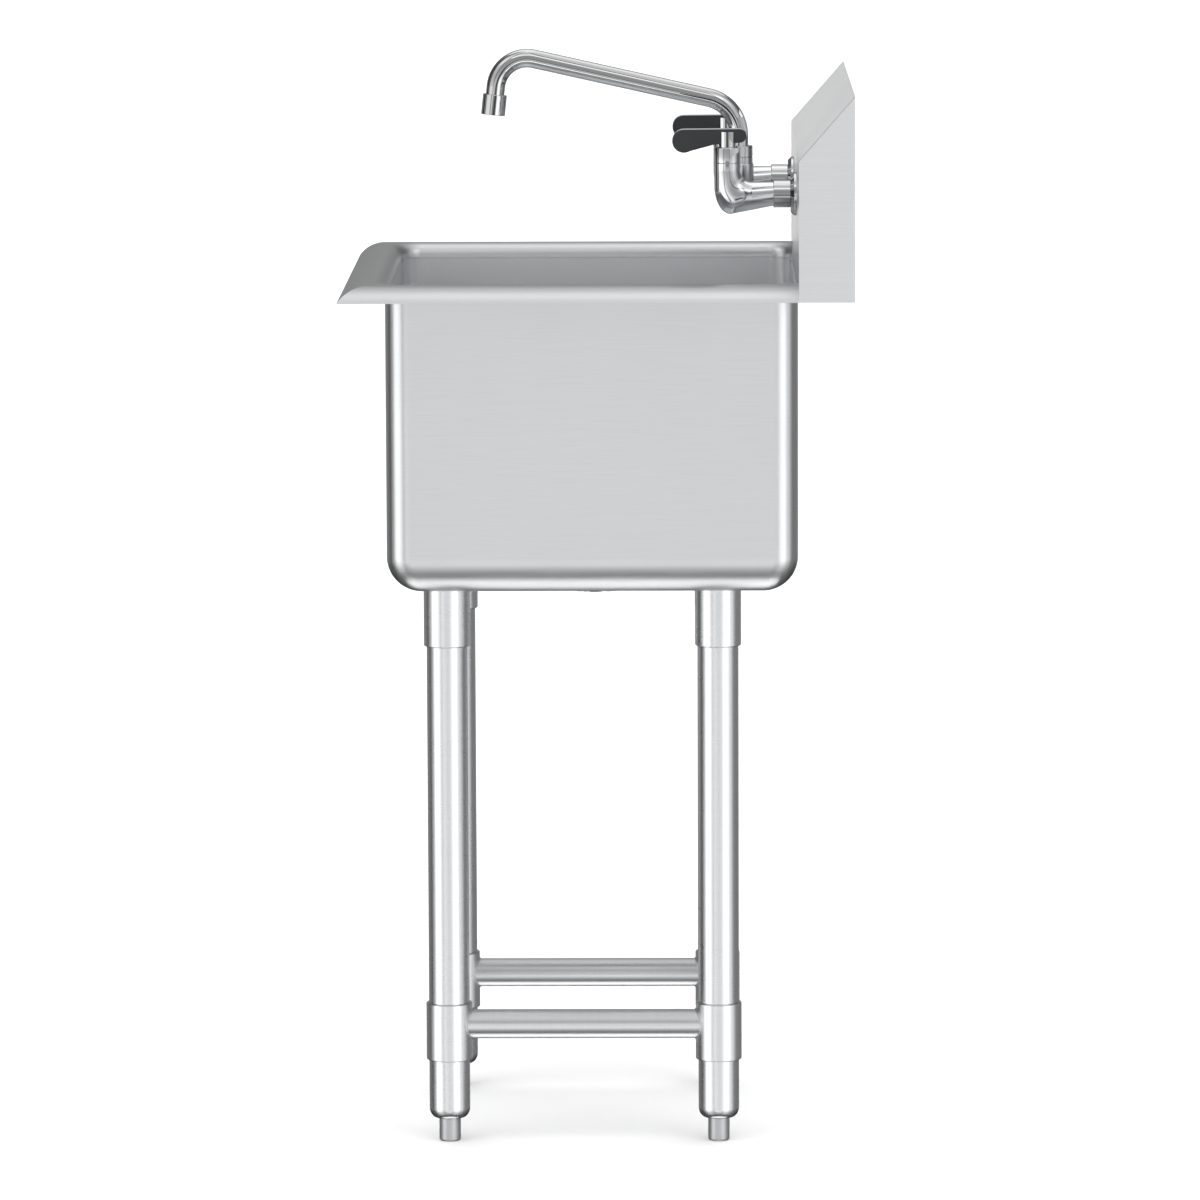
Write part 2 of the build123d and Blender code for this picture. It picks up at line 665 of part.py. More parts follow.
# ---------------------------------------------------------------- faucet body
arm_vector = Vector(0, union_y - elbow_y, inlet_z - elbow_z)
arm_taper = asin((ELBOW_RADIUS - ARM_END_RADIUS) / arm_vector.length)
arm_past = arm_vector.length + NOSE_LENGTH  # made longer than needed, then cut square at the union nut
arm_tip_radius = (ELBOW_RADIUS - arm_past * sin(arm_taper)) / cos(arm_taper)
pivot_y = valve_y + column_radius + ARM_INNER_ROUND
pivot_z = inlet_z + ARM_PIVOT_RISE
with BuildPart() as faucet_body:
    for sign in SIDES.values():
        x = sign * INLET_CENTRES / 2
        with BuildSketch(Plane.XY.offset(elbow_z)):
            with Locations((x, valve_y)):
                Circle(column_radius)
        extrude(amount=column_top - elbow_z)
        elbow = Plane(origin=(x, elbow_y, elbow_z), x_dir=arm_vector, z_dir=(1, 0, 0))
        with BuildSketch(elbow):
            with BuildLine():
                CenterArc((0, 0), ELBOW_RADIUS, 90 - degrees(arm_taper), 90 + degrees(arm_taper))
                Polyline(
                    (-ELBOW_RADIUS, 0),
                    (arm_past, 0),
                    (arm_past, arm_tip_radius),
                    (ELBOW_RADIUS * sin(arm_taper), ELBOW_RADIUS * cos(arm_taper)),
                )
            make_face()
        revolve(axis=Axis((x, elbow_y, elbow_z), arm_vector))
        with BuildSketch(Plane.XY.offset(pivot_z)):
            with Locations((x, valve_y)):
                Circle(column_radius)
        revolve(axis=Axis((x, pivot_y, pivot_z), (1, 0, 0)), revolution_arc=90)
    split(bisect_by=Plane.XZ.offset(-union_y), keep=Keep.TOP)
    bridge_y = valve_y + BRIDGE_BACK
    with BuildSketch(Plane.YZ):
        with Locations((bridge_y, inlet_z - BRIDGE_DROP)):
            Circle(BRIDGE_RADIUS)
    extrude(amount=INLET_CENTRES / 2, both=True)
    boss_z = inlet_z - BOSS_DROP
    with Locations((0, spout_y, boss_z)):
        Sphere(boss_radius)
    with BuildSketch(Plane.XY.offset(boss_z)):
        with Locations((0, spout_y)):
            Circle(boss_radius)
    extrude(amount=boss_top - boss_z)
    with BuildSketch(Plane.XZ.offset(-union_y)):
        with Locations((0, inlet_z)):
            with GridLocations(INLET_CENTRES, 0, 2, 1):
                Circle(NOSE_RADIUS)
    extrude(amount=-NOSE_LENGTH)
    with BuildSketch(Plane.XY.offset(column_top)):
        with Locations((0, valve_y)):
            with GridLocations(INLET_CENTRES, 0, 2, 1):
                Circle(column_bore)
    extrude(amount=-COLUMN_BORE_DEPTH, mode=Mode.SUBTRACT)
    with BuildSketch(Plane.XY.offset(boss_top)):
        with Locations((0, spout_y)):
            Circle(SPOUT_RADIUS + RUNNING_GAP)
    extrude(amount=-SPOUT_SINK, mode=Mode.SUBTRACT)
    with BuildSketch(Plane.XY.offset(boss_top)):
        with Locations((0, spout_y)):
            Circle(seal_radius)
    extrude(amount=-SEAL_HEIGHT, mode=Mode.SUBTRACT)
    with BuildSketch(Plane.XZ.offset(-union_y - NOSE_LENGTH)):
        with Locations((0, inlet_z)):
            with GridLocations(INLET_CENTRES, 0, 2, 1):
                Circle(SHANK_BORE)
    extrude(amount=NOSE_LENGTH + union_y - valve_y, mode=Mode.SUBTRACT)
finish_piece(faucet_body, "faucet_body")

# ---------------------------------------------------------------- valves and levers
for side, sign in SIDES.items():
    x = sign * INLET_CENTRES / 2
    valve_axis = Axis((x, valve_y, 0), (0, 0, 1))
    bonnet_radius = column_radius + BONNET_PROUD
    bonnet_top = column_top + BONNET_HEIGHT
    lever_top = column_top + LEVER_TOP
    hub_top = lever_top - LEVER_WEB
    stem_top = hub_top - HUB_CAP
    with BuildPart() as bonnet:
        with BuildSketch(Plane.XZ.offset(-valve_y)):
            Polygon(
                (x + column_bore, column_top),
                (x + bonnet_radius, column_top),
                (x + bonnet_radius, bonnet_top - BONNET_CHAMFER),
                (x + bonnet_radius - BONNET_CHAMFER, bonnet_top),
                (x + HUB_RADIUS + SLIP, bonnet_top),
                (x + HUB_RADIUS + SLIP, column_top + CARTRIDGE_TOP + EDGE_ROUND),
                (x + column_bore, column_top + CARTRIDGE_TOP),
                align=None,
            )
        revolve(axis=valve_axis)
    finish_piece(bonnet, f"bonnet_{side}")

    with BuildPart() as valve_cartridge:
        with BuildSketch(Plane.XY.offset(column_top - COLUMN_BORE_DEPTH)):
            with Locations((x, valve_y)):
                Circle(column_bore - CARTRIDGE_GAP)
        extrude(amount=COLUMN_BORE_DEPTH + CARTRIDGE_TOP)
        with BuildSketch(Plane.XY.offset(column_top - STEM_BOTTOM)):
            with Locations((x, valve_y)):
                Circle(STEM_RADIUS + RUNNING_GAP)
        extrude(amount=STEM_BOTTOM + CARTRIDGE_TOP, mode=Mode.SUBTRACT)
    finish_piece(valve_cartridge, f"valve_cartridge_{side}")

    with BuildPart() as valve_stem:
        with BuildSketch(Plane.XY.offset(column_top - STEM_BOTTOM)):
            with Locations((x, valve_y)):
                Circle(STEM_RADIUS)
        extrude(amount=stem_top - column_top + STEM_BOTTOM)
        with BuildSketch(Plane.XY.offset(stem_top)):
            with Locations((x, valve_y)):
                Circle(SCREW_RADIUS)
        extrude(amount=-SCREW_LENGTH, mode=Mode.SUBTRACT)
    finish_piece(valve_stem, f"valve_stem_{side}")

    hub_bottom = bonnet_top - HUB_SINK
    with BuildPart() as handle_hub:
        with BuildSketch(Plane.XY.offset(hub_bottom)):
            with Locations((x, valve_y)):
                Circle(HUB_RADIUS)
        extrude(amount=hub_top - hub_bottom)
        with BuildSketch(Plane.XY.offset(hub_bottom)):
            with Locations((x, valve_y)):
                Circle(STEM_RADIUS + SLIP)
        extrude(amount=stem_top - hub_bottom, mode=Mode.SUBTRACT)
        with BuildSketch(Plane.XY.offset(hub_top)):
            with Locations((x, valve_y)):
                Circle(SCREW_RADIUS + SLIP)
        extrude(amount=-(hub_top - column_top), mode=Mode.SUBTRACT)
    finish_piece(handle_hub, f"handle_hub_{side}")

    palm_y = valve_y - LEVER_PALM_REACH
    palm_z = lever_top - LEVER_PALM_DROP
    tail_y = valve_y + LEVER_TAIL_REACH
    tail_z = lever_top - LEVER_TAIL_RADIUS
    with BuildPart() as handle_lever:
        with BuildSketch(Plane.YZ.offset(x - LEVER_WIDTH / 2)):
            with Locations((palm_y, palm_z)):
                Circle(LEVER_PALM_RADIUS)
            with Locations((tail_y, tail_z)):
                Circle(LEVER_TAIL_RADIUS)
            Polygon(
                (palm_y, palm_z + LEVER_PALM_RADIUS),
                (palm_y, palm_z - LEVER_PALM_RADIUS),
                (valve_y - LEVER_NECK_REACH, lever_top - LEVER_NECK),
                (tail_y, lever_top - 2 * LEVER_TAIL_RADIUS),
                (tail_y, lever_top),
                align=None,
            )
        extrude(amount=LEVER_WIDTH)
        side_faces = handle_lever.faces().filter_by(Axis.X)
        fillet(side_faces.edges(), radius=LEVER_EDGE)
        with BuildSketch(Plane.XY.offset(hub_top)):
            with Locations((x, valve_y)):
                Circle(HUB_RADIUS + HUB_SEAT_GAP)
        extrude(amount=-2 * LEVER_NECK, mode=Mode.SUBTRACT)
        with BuildSketch(Plane.XY.offset(lever_top)):
            with Locations((x, valve_y)):
                Circle(BUTTON_RADIUS)
        extrude(amount=-BUTTON_THICK, mode=Mode.SUBTRACT)
        with BuildSketch(Plane.XY.offset(lever_top)):
            with Locations((x, valve_y)):
                Circle(SCREW_HEAD_RADIUS + SLIP)
        extrude(amount=hub_top - lever_top, mode=Mode.SUBTRACT)
    finish_piece(handle_lever, f"handle_lever_{side}")

    with BuildPart() as handle_screw:
        with BuildSketch(Plane.XY.offset(hub_top)):
            with Locations((x, valve_y)):
                Circle(SCREW_HEAD_RADIUS)
        extrude(amount=SCREW_HEAD)
        with BuildSketch(Plane.XY.offset(hub_top)):
            with Locations((x, valve_y)):
                Circle(SCREW_RADIUS - SLIP / 2)
        extrude(amount=-SCREW_LENGTH)
    finish_piece(handle_screw, f"handle_screw_{side}")

    with BuildPart() as index_button:
        with BuildSketch(Plane.XY.offset(lever_top - BUTTON_THICK)):
            with Locations((x, valve_y)):
                Circle(BUTTON_RADIUS - SLIP / 2)
        extrude(amount=BUTTON_THICK)
    finish_piece(index_button, f"index_button_{side}")

# ---------------------------------------------------------------- spout
spout_foot = boss_top - SPOUT_SINK
back_corner = (spout_y, boss_top + SPOUT_CORNER_RISE)
front_corner = (
    spout_y - SPOUT_REACH,
    back_corner[1] + SPOUT_REACH * tan(radians(SPOUT_SLOPE)),
)
tip_dir = (-sin(radians(SPOUT_TIP_LEAN)), -cos(radians(SPOUT_TIP_LEAN)))
ring_radius = SPOUT_RADIUS + COLLAR_RING_PROUD
nut_radius = ring_radius + SPOUT_NUT_WALL
nozzle_top = (
    front_corner[0] + NOZZLE_DROP * tip_dir[0],
    front_corner[1] + NOZZLE_DROP * tip_dir[1],
)
tube_tip = (
    nozzle_top[0] + NOZZLE_SEAT * tip_dir[0],
    nozzle_top[1] + NOZZLE_SEAT * tip_dir[1],
)
with BuildPart() as spout:
    with BuildLine(Plane.YZ):
        FilletPolyline(
            (spout_y, spout_foot),
            back_corner,
            front_corner,
            tube_tip,
            radius=[SPOUT_BEND_BACK, SPOUT_BEND_FRONT],
        )
    with BuildSketch(Plane.XY.offset(spout_foot)):
        with Locations((0, spout_y)):
            Circle(SPOUT_RADIUS)
            Circle(SPOUT_RADIUS - SPOUT_WALL, mode=Mode.SUBTRACT)
    sweep()
    with BuildSketch(Plane.XY.offset(boss_top + RUNNING_GAP)):
        with Locations((0, spout_y)):
            Circle(ring_radius)
            Circle(SPOUT_RADIUS - SPOUT_WALL / 2, mode=Mode.SUBTRACT)
    extrude(amount=COLLAR_RING)
finish_piece(spout, "spout")

nozzle_plane = Plane(
    origin=(0, nozzle_top[0], nozzle_top[1]), x_dir=(1, 0, 0), z_dir=(0, tip_dir[0], tip_dir[1])
)
with BuildPart() as spout_nozzle:
    with BuildSketch(nozzle_plane):
        Circle(SPOUT_RADIUS + NOZZLE_WALL)
    extrude(amount=NOZZLE_LENGTH)
    fillet(spout_nozzle.edges(), radius=EDGE_ROUND / 2)
    with BuildSketch(nozzle_plane):
        Circle(SPOUT_RADIUS + RUNNING_GAP)
    extrude(amount=NOZZLE_SEAT, mode=Mode.SUBTRACT)
    with BuildSketch(nozzle_plane):
        Circle(SPOUT_RADIUS - NOZZLE_STEP)
    extrude(amount=NOZZLE_LENGTH, mode=Mode.SUBTRACT)
finish_piece(spout_nozzle, "spout_nozzle")

with BuildPart() as spout_nut:
    ring_top = boss_top + COLLAR_RING + 3 * RUNNING_GAP
    nut_top = boss_top + SPOUT_NUT_HEIGHT
    groove_z = boss_top + SPOUT_NUT_GROOVE
    with BuildSketch(Plane.XZ.offset(-spout_y)):
        Polygon(
            (ring_radius + RUNNING_GAP, boss_top),
            (nut_radius, boss_top),
            (nut_radius, groove_z - EDGE_ROUND / 2),
            (nut_radius - EDGE_ROUND / 2, groove_z),
            (nut_radius, groove_z + EDGE_ROUND / 2),
            (nut_radius, nut_top - EDGE_ROUND / 2),
            (nut_radius - EDGE_ROUND / 2, nut_top),
            (SPOUT_RADIUS + RUNNING_GAP, nut_top),
            (SPOUT_RADIUS + RUNNING_GAP, ring_top),
            (ring_radius + RUNNING_GAP, ring_top),
            align=None,
        )
    revolve(axis=Axis((0, spout_y, 0), (0, 0, 1)))
finish_piece(spout_nut, "spout_nut")

with BuildPart() as spout_seal:
    with BuildSketch(Plane.XY.offset(boss_top - SEAL_HEIGHT)):
        with Locations((0, spout_y)):
            Circle(seal_radius - SLIP / 2)
            Circle(SPOUT_RADIUS + RUNNING_GAP, mode=Mode.SUBTRACT)
    extrude(amount=SEAL_HEIGHT)
finish_piece(spout_seal, "spout_seal")
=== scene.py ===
"""Looks of a free-standing steel utility sink with a splash-mount faucet.

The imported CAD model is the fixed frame. Each operator below gives pieces of it their finish, or
builds finer pieces that ride on its bodies. Metres, +Z up, -Y the front, +X the cold-water side.
"""

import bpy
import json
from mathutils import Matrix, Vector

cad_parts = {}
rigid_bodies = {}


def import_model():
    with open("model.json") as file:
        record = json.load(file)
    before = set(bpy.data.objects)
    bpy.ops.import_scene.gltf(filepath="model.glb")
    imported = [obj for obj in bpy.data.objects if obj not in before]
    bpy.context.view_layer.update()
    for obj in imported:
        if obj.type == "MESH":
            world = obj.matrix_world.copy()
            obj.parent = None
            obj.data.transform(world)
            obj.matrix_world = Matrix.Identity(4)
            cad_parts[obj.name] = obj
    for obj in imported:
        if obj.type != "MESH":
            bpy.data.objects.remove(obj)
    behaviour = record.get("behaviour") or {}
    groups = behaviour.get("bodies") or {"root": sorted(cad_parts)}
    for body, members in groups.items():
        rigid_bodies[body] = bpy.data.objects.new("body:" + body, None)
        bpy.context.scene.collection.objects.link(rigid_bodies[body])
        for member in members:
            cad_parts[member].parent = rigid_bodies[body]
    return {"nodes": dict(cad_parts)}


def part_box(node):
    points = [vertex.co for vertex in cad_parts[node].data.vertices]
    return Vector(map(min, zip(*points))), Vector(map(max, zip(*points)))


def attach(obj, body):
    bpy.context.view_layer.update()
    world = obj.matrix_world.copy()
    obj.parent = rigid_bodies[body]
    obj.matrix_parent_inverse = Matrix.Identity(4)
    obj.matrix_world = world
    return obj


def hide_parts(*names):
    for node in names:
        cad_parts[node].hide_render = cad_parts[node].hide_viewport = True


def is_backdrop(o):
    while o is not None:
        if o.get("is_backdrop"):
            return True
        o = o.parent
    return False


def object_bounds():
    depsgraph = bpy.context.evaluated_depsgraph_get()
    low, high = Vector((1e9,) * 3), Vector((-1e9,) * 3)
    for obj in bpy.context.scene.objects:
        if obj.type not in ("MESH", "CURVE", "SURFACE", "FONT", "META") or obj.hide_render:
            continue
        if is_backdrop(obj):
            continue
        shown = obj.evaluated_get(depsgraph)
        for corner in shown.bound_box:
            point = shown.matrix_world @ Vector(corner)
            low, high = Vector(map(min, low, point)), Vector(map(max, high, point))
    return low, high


bl_info = {
    "name": "Utility sink looks",
    "version": (1, 0, 0),
    "blender": (4, 5, 0),
    "location": "3D View > Sidebar > Sink",
    "description": "Finishes, fine pieces and stage of a steel utility sink",
    "category": "Object",
}

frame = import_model()
cad_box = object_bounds()

import json
from math import cos, pi, radians, sin, tan

import bmesh
import bpy
from bpy.props import FloatProperty, FloatVectorProperty, PointerProperty
from mathutils import Matrix, Vector

NODES = frame["nodes"]
LEGS = ("front_left", "front_right", "rear_left", "rear_right")
SIDES = ("left", "right")
MM = 0.001  # metres
FACETS = 96
THREAD_FACETS = 48
THREAD_STEPS = 6
BEAD_FACETS = 8
BEAD_STEPS = 6


def colour_property(name, description, default):
    return FloatVectorProperty(
        name=name, description=description, subtype="COLOR", size=3, min=0, max=1, default=default
    )


def length_property(name, description, default_mm):
    return FloatProperty(
        name=name, description=description, unit="LENGTH", min=0, default=default_mm * MM
    )


def share_property(name, description, default):
    return FloatProperty(
        name=name, description=description, subtype="FACTOR", min=0, max=1, default=default
    )


# Brightness of the studio round the object: degrees from +X, positive towards the wall
STUDIO_ROUND = [
    (-180, 0.55), (-168, 0.5), (-155, 0.3), (-130, 0.26), (-112, 0.2), (-103, 0.28), (-95, 0.65),
    (-80, 1.15), (-66, 1.5), (-50, 1.45), (-38, 1.2), (-25, 1.0), (-12, 0.85), (0, 0.8),
    (12, 0.9), (22, 1.2), (34, 1.6), (48, 1.6), (60, 1.3), (72, 0.95), (84, 0.55), (95, 0.2),
    (105, 0.2), (130, 0.26), (155, 0.3), (168, 0.5), (180, 0.55),
]
# Brightness of the studio by degrees from level
STUDIO_UP = [
    (-90, 0.25), (-75, 0.25), (-66, 0.22), (-56, 0.25), (-46, 0.35), (-34, 0.45), (-24, 0.6),
    (-14, 0.95), (-4, 0.95), (4, 0.5), (14, 0.4), (28, 0.45), (40, 0.75), (56, 0.75), (66, 0.62),
    (76, 0.82), (84, 1.15), (90, 1.2),
]
# Dark card straight ahead: middle from level, half its height and half its width in degrees
DARK_CARD = (-9, 9, 20)
# Soft lamps that light one finish only: finish, degrees round, degrees up, width, brightness
FILLS = {
    "front_fill": ("steel", 0, -12, 42, 0.48),
    "left_fill": ("steel", -66, -8, 40, 0.19),
    "right_fill": ("steel", 58, -8, 40, 0.16),
    "low_fill": ("steel", 180, -81, 42, 1.2),
    "slope_fill": ("splash_steel", -176, 6, 36, 0.62),
}
# White cards that only the chrome sees: degrees round, up, wide and tall, and brightness
CARDS = {
    "low_card": (0, -39, 50, 16, 1.5),
    "wall_card": (103, -2, 46, 60, 1.2),
    "back_card": (180, 60, 60, 34, 0.6),
    "high_card": (0, 46, 50, 12, 0.7),
}
CARD_DISTANCE = 2.5
# Thin black strips that draw lines in the chrome: degrees round or up, and half their width
STRIPS_ROUND = ((-106, 11), (-86, 6), (-31, 3), (18, 3), (66, 3))
STRIPS_UP = ((-64, 14),)
STRIP_DARKNESS = 0.94
CARD_DARKNESS = 0.92
BACK_DARKNESS = 0.85
# Share of a strip's half width, and of the dark card's half width and height, that is darkest
STRIP_CORE = 0.5
CARD_CORE = (0.6, 0.5)
# The round bands fade out towards straight up and down between these heights of a unit direction
POLE = (0.7, 0.95)
# Low down on the side away from the camera it grows dark, from the first to the second part of a
# unit direction along X and along Z
BACK_AWAY = (-0.35, -0.65)
BACK_DOWN = (-0.1, -0.35)
OVERHEAD_WIDTH = 120
SENSOR_WIDTH = 36
VIEW_DISTANCE = 400


# ---------------------------------------------------------------- settings
class SteelSettings(bpy.types.PropertyGroup):
    """Sizes and colours of the brushed steel."""

    colour: colour_property("Steel", "Colour of clean satin steel", (0.8, 0.81, 0.82))
    roughness: share_property("Roughness", "Blur of its reflections", 0.33)
    line: length_property("Brush line", "Width of the broad brush lines", 1.6)
    fine_line: length_property("Fine line", "Width of the fine scratches between them", 0.35)
    stroke: length_property("Stroke", "Length of one brush stroke", 60)
    depth: length_property("Line depth", "Depth of the broad lines", 0.0008)
    fine_share: share_property("Fine share", "Share of the fine scratches", 0.45)
    change: share_property("Change", "Change of colour over the lines", 0.03)
    smooth: share_property("Smooth", "Share of those changes that a smooth finish keeps", 0.4)


class ChromeSettings(bpy.types.PropertyGroup):
    """Sizes and colours of the plated faucet."""

    colour: colour_property("Chrome", "Colour of the plating", (0.64, 0.645, 0.65))
    roughness: share_property("Roughness", "Blur of its reflections", 0.03)
    wave: length_property("Wave", "Length of the soft waves that polishing leaves", 14)
    wave_depth: length_property("Wave depth", "Depth of those waves", 0.003)


class FaucetSettings(bpy.types.PropertyGroup):
    """Sizes of the cast faucet body."""

    inner_round: length_property("Inner round", "Radius of the inside of an elbow", 12)
    heel_height: length_property("Heel height", "Height of the rounded heel of an elbow", 28.7)
    heel_length: length_property("Heel length", "Length of that heel, front to back", 16.7)
    elbow_bulge: length_property("Bulge", "Extra half width of an elbow", 1.0)
    arm_end: length_property("Arm end", "Radius of an arm where it meets its nut", 12.2)
    bridge: length_property("Bridge", "Radius of the bridge between the columns", 11)
    flare: length_property("Flare", "Growth of the bridge where it joins", 2.4)
    boss: length_property("Boss", "Radius of the spout's boss", 15)
    bonnet_rise: length_property("Bonnet rise", "Column and bonnet taller than the frame's", 2)
    chamfer: length_property("Chamfer", "Broken edge of turned pieces", 0.6)
    waterway: length_property("Waterway", "Radius of the bores for water", 7.5)
    spout_bore: length_property("Spout bore", "Radius of the bore for the spout", 9.6)
    clear: length_property("Clearance", "Room round a piece in its bore", 0.1)
    bridge_back: length_property("Bridge back", "From the columns' middle back to the bridge's", 5)
    bridge_drop: length_property("Bridge drop", "From the nuts' middle down to the bridge's", 3.5)
    boss_drop: length_property("Boss drop", "From the nuts' middle down to the boss's round", 5)


class ScrewSettings(bpy.types.PropertyGroup):
    """Sizes of threads and welds."""

    foot_pitch: length_property("Foot pitch", "Rise of a foot's thread in one turn", 2)
    rod: length_property("Foot rod", "Outside radius of a foot's thread", 8)
    stub_round: length_property("Stub round", "Rounding under a foot", 2.5)
    shank_pitch: length_property("Shank pitch", "Rise of a shank's thread in one turn", 1.8)
    shank_relief: length_property("Relief", "A shank is slimmer by this where nuts cover it", 0.2)
    shank_bore: length_property("Shank bore", "Radius of the bore of a shank", 7.5)
    shank_clear: length_property("Thread start", "From the lock nut to the full thread", 0.5)
    bead: length_property("Weld bead", "Radius of the weld round sockets and rails", 1.1)
    ripple: length_property("Weld ripple", "Spacing of the ripples along a weld", 3.2)
    seam: length_property("Seam", "Width of the seam under the slope", 0.7)


class SmallSettings(bpy.types.PropertyGroup):
    """Colours of the small pieces."""

    lever: colour_property("Lever", "Colour of the moulded levers", (0.032, 0.034, 0.036))
    # Painted highlight colour on lever faces that look up; the index buttons' caps take this grey
    # too
    lever_sheen_and_cap: colour_property("Lever edge", "Colour where a lever faces up", (0.34, 0.35, 0.36))
    dot: length_property("Index dot", "Radius of the coloured dot on a lever", 2.4)
    dot_edge: length_property("Dot edge", "Half the soft edge of that dot", 0.1)
    grain: length_property("Lever grain", "Depth of the grain of moulded levers", 0.002)
    rubber_grain: length_property("Rubber grain", "Depth of the grain of rubber", 0.01)
    lathe: length_property("Lathe marks", "Depth of the marks on turned brass", 0.01)
    rubber: colour_property("Rubber", "Colour of gaskets and washers", (0.025, 0.025, 0.025))
    brass: colour_property("Brass", "Colour of shanks, nuts and cartridges", (0.7, 0.54, 0.29))
    hot: colour_property("Hot dot", "Colour of the hot index button", (0.62, 0.04, 0.03))
    cold: colour_property("Cold dot", "Colour of the cold index button", (0.04, 0.13, 0.56))


class StageSettings(bpy.types.PropertyGroup):
    """Sizes and brightness of the studio."""

    floor_radius: FloatProperty(
        name="Floor", description="Radius of the studio floor", unit="LENGTH", default=80
    )
    floor: colour_property("Floor", "Colour of the floor", (0.93, 0.93, 0.93))
    surroundings: FloatProperty(
        name="Surroundings", description="Brightness of softboxes and cards", min=0, default=1.1
    )
    overhead: FloatProperty(
        name="Overhead", description="Strength of the broad lamp over the floor", min=0, default=3.2
    )
    camera_place: FloatVectorProperty(
        name="Camera", description="Place of the camera", subtype="TRANSLATION",
        default=(7.60281, 0.08985, 1.56699),
    )
    yaw: FloatProperty(
        name="Yaw", description="Turn of the camera from straight along -X", subtype="ANGLE",
        default=radians(-0.6763),
    )
    pitch: FloatProperty(
        name="Pitch", description="Camera below level", subtype="ANGLE", default=radians(7.7227)
    )
    roll: FloatProperty(
        name="Roll", description="Tilt of the camera", subtype="ANGLE", default=radians(-0.2191)
    )
    lens: FloatProperty(
        name="Lens", description="Focal length on a 36 mm sensor", unit="CAMERA", default=223.7
    )


# ---------------------------------------------------------------- materials
class Value:
    """A socket, with arithmetic that adds Math nodes."""

    def __init__(self, paint, socket):
        self.paint = paint
        self.socket = socket

    def __add__(self, other):
        return self.paint.math("ADD", self, other)

    def __sub__(self, other):
        return self.paint.math("SUBTRACT", self, other)

    def __rsub__(self, other):
        return self.paint.math("SUBTRACT", other, self)

    def __mul__(self, other):
        return self.paint.math("MULTIPLY", self, other)

    def __rmul__(self, other):
        return self.paint.math("MULTIPLY", other, self)

    def __abs__(self):
        return self.paint.math("ABSOLUTE", self)


class Paint:
    """Node tree of one material or of the world."""

    def __init__(self, owner):
        self.owner = owner
        owner.use_nodes = True
        self.tree = owner.node_tree
        self.tree.nodes.clear()

    def node(self, kind, settings=None, sockets=None, output=0):
        """Adds a node with its settings, then the values or links of its sockets."""
        node = self.tree.nodes.new(kind)
        for name, value in (settings or {}).items():
            if name == "stops":
                ramp = node.color_ramp
                while len(ramp.elements) < len(value):
                    ramp.elements.new(1)
                for element, (place, colour) in zip(ramp.elements, value):
                    element.position = place
                    element.color = (*colour, 1)
            else:
                setattr(node, name, value)
        for name, value in (sockets or {}).items():
            if isinstance(value, Value):
                self.tree.links.new(value.socket, node.inputs[name])
            else:
                node.inputs[name].default_value = value
        return Value(self, node.outputs[output]) if node.outputs else None

    def math(self, operation, first, second=0.0):
        return self.node("ShaderNodeMath", {"operation": operation}, {0: first, 1: second})

    def blend(self, factor, first, second):
        """Mixes two colours."""
        return self.node(
            "ShaderNodeMix", {"data_type": "RGBA"}, {0: factor, 6: first, 7: second}, output=2
        )

    def vector(self, operation, first, second=(0, 0, 0), output=0):
        """Vector Math; output 1 is the number that a length or a dot product gives."""
        sockets = {0: first, 1: second}
        return self.node("ShaderNodeVectorMath", {"operation": operation}, sockets, output)

    def place(self):
        """Place on the piece, in metres, at rest."""
        return self.node("ShaderNodeTexCoord", output="Object")

    def facing(self):
        """Direction that the surface faces."""
        return self.node("ShaderNodeNewGeometry", output=1)

    def noise(self, scale, detail=2.0, roughness=0.5, offset=0.0):
        """Cloudy noise; scale is in cycles per metre, one number or one for each axis."""
        stretch = (scale,) * 3 if isinstance(scale, (int, float)) else tuple(scale)
        scaled = self.vector("MULTIPLY", self.place(), stretch)
        moved = self.vector("ADD", scaled, (offset,) * 3)
        return self.node(
            "ShaderNodeTexNoise",
            {"noise_dimensions": "3D"},
            {"Vector": moved, "Scale": 1.0, "Detail": detail, "Roughness": roughness},
        )

    def spread(self, value, low, high, start=0.0, end=1.0):
        """Maps a value from one range to another, clamped."""
        return self.node(
            "ShaderNodeMapRange",
            {"clamp": True},
            {"Value": value, "From Min": low, "From Max": high, "To Min": start, "To Max": end},
        )

    def bump(self, height, distance):
        sockets = {"Height": height, "Distance": distance, "Strength": 1.0}
        return self.node("ShaderNodeBump", None, sockets)

    def surface(self, **sockets):
        """Ends the material with one Principled shader."""
        names = {name.replace("_", " "): value for name, value in sockets.items()}
        shader = self.node("ShaderNodeBsdfPrincipled", None, names)
        self.node("ShaderNodeOutputMaterial", None, {"Surface": shader})
        return self.owner


def new_paint(name):
    return Paint(bpy.data.materials.new(name))


def rgb(colour, factor=1.0):
    return tuple(min(1.0, c * factor) for c in colour) + (1.0,)


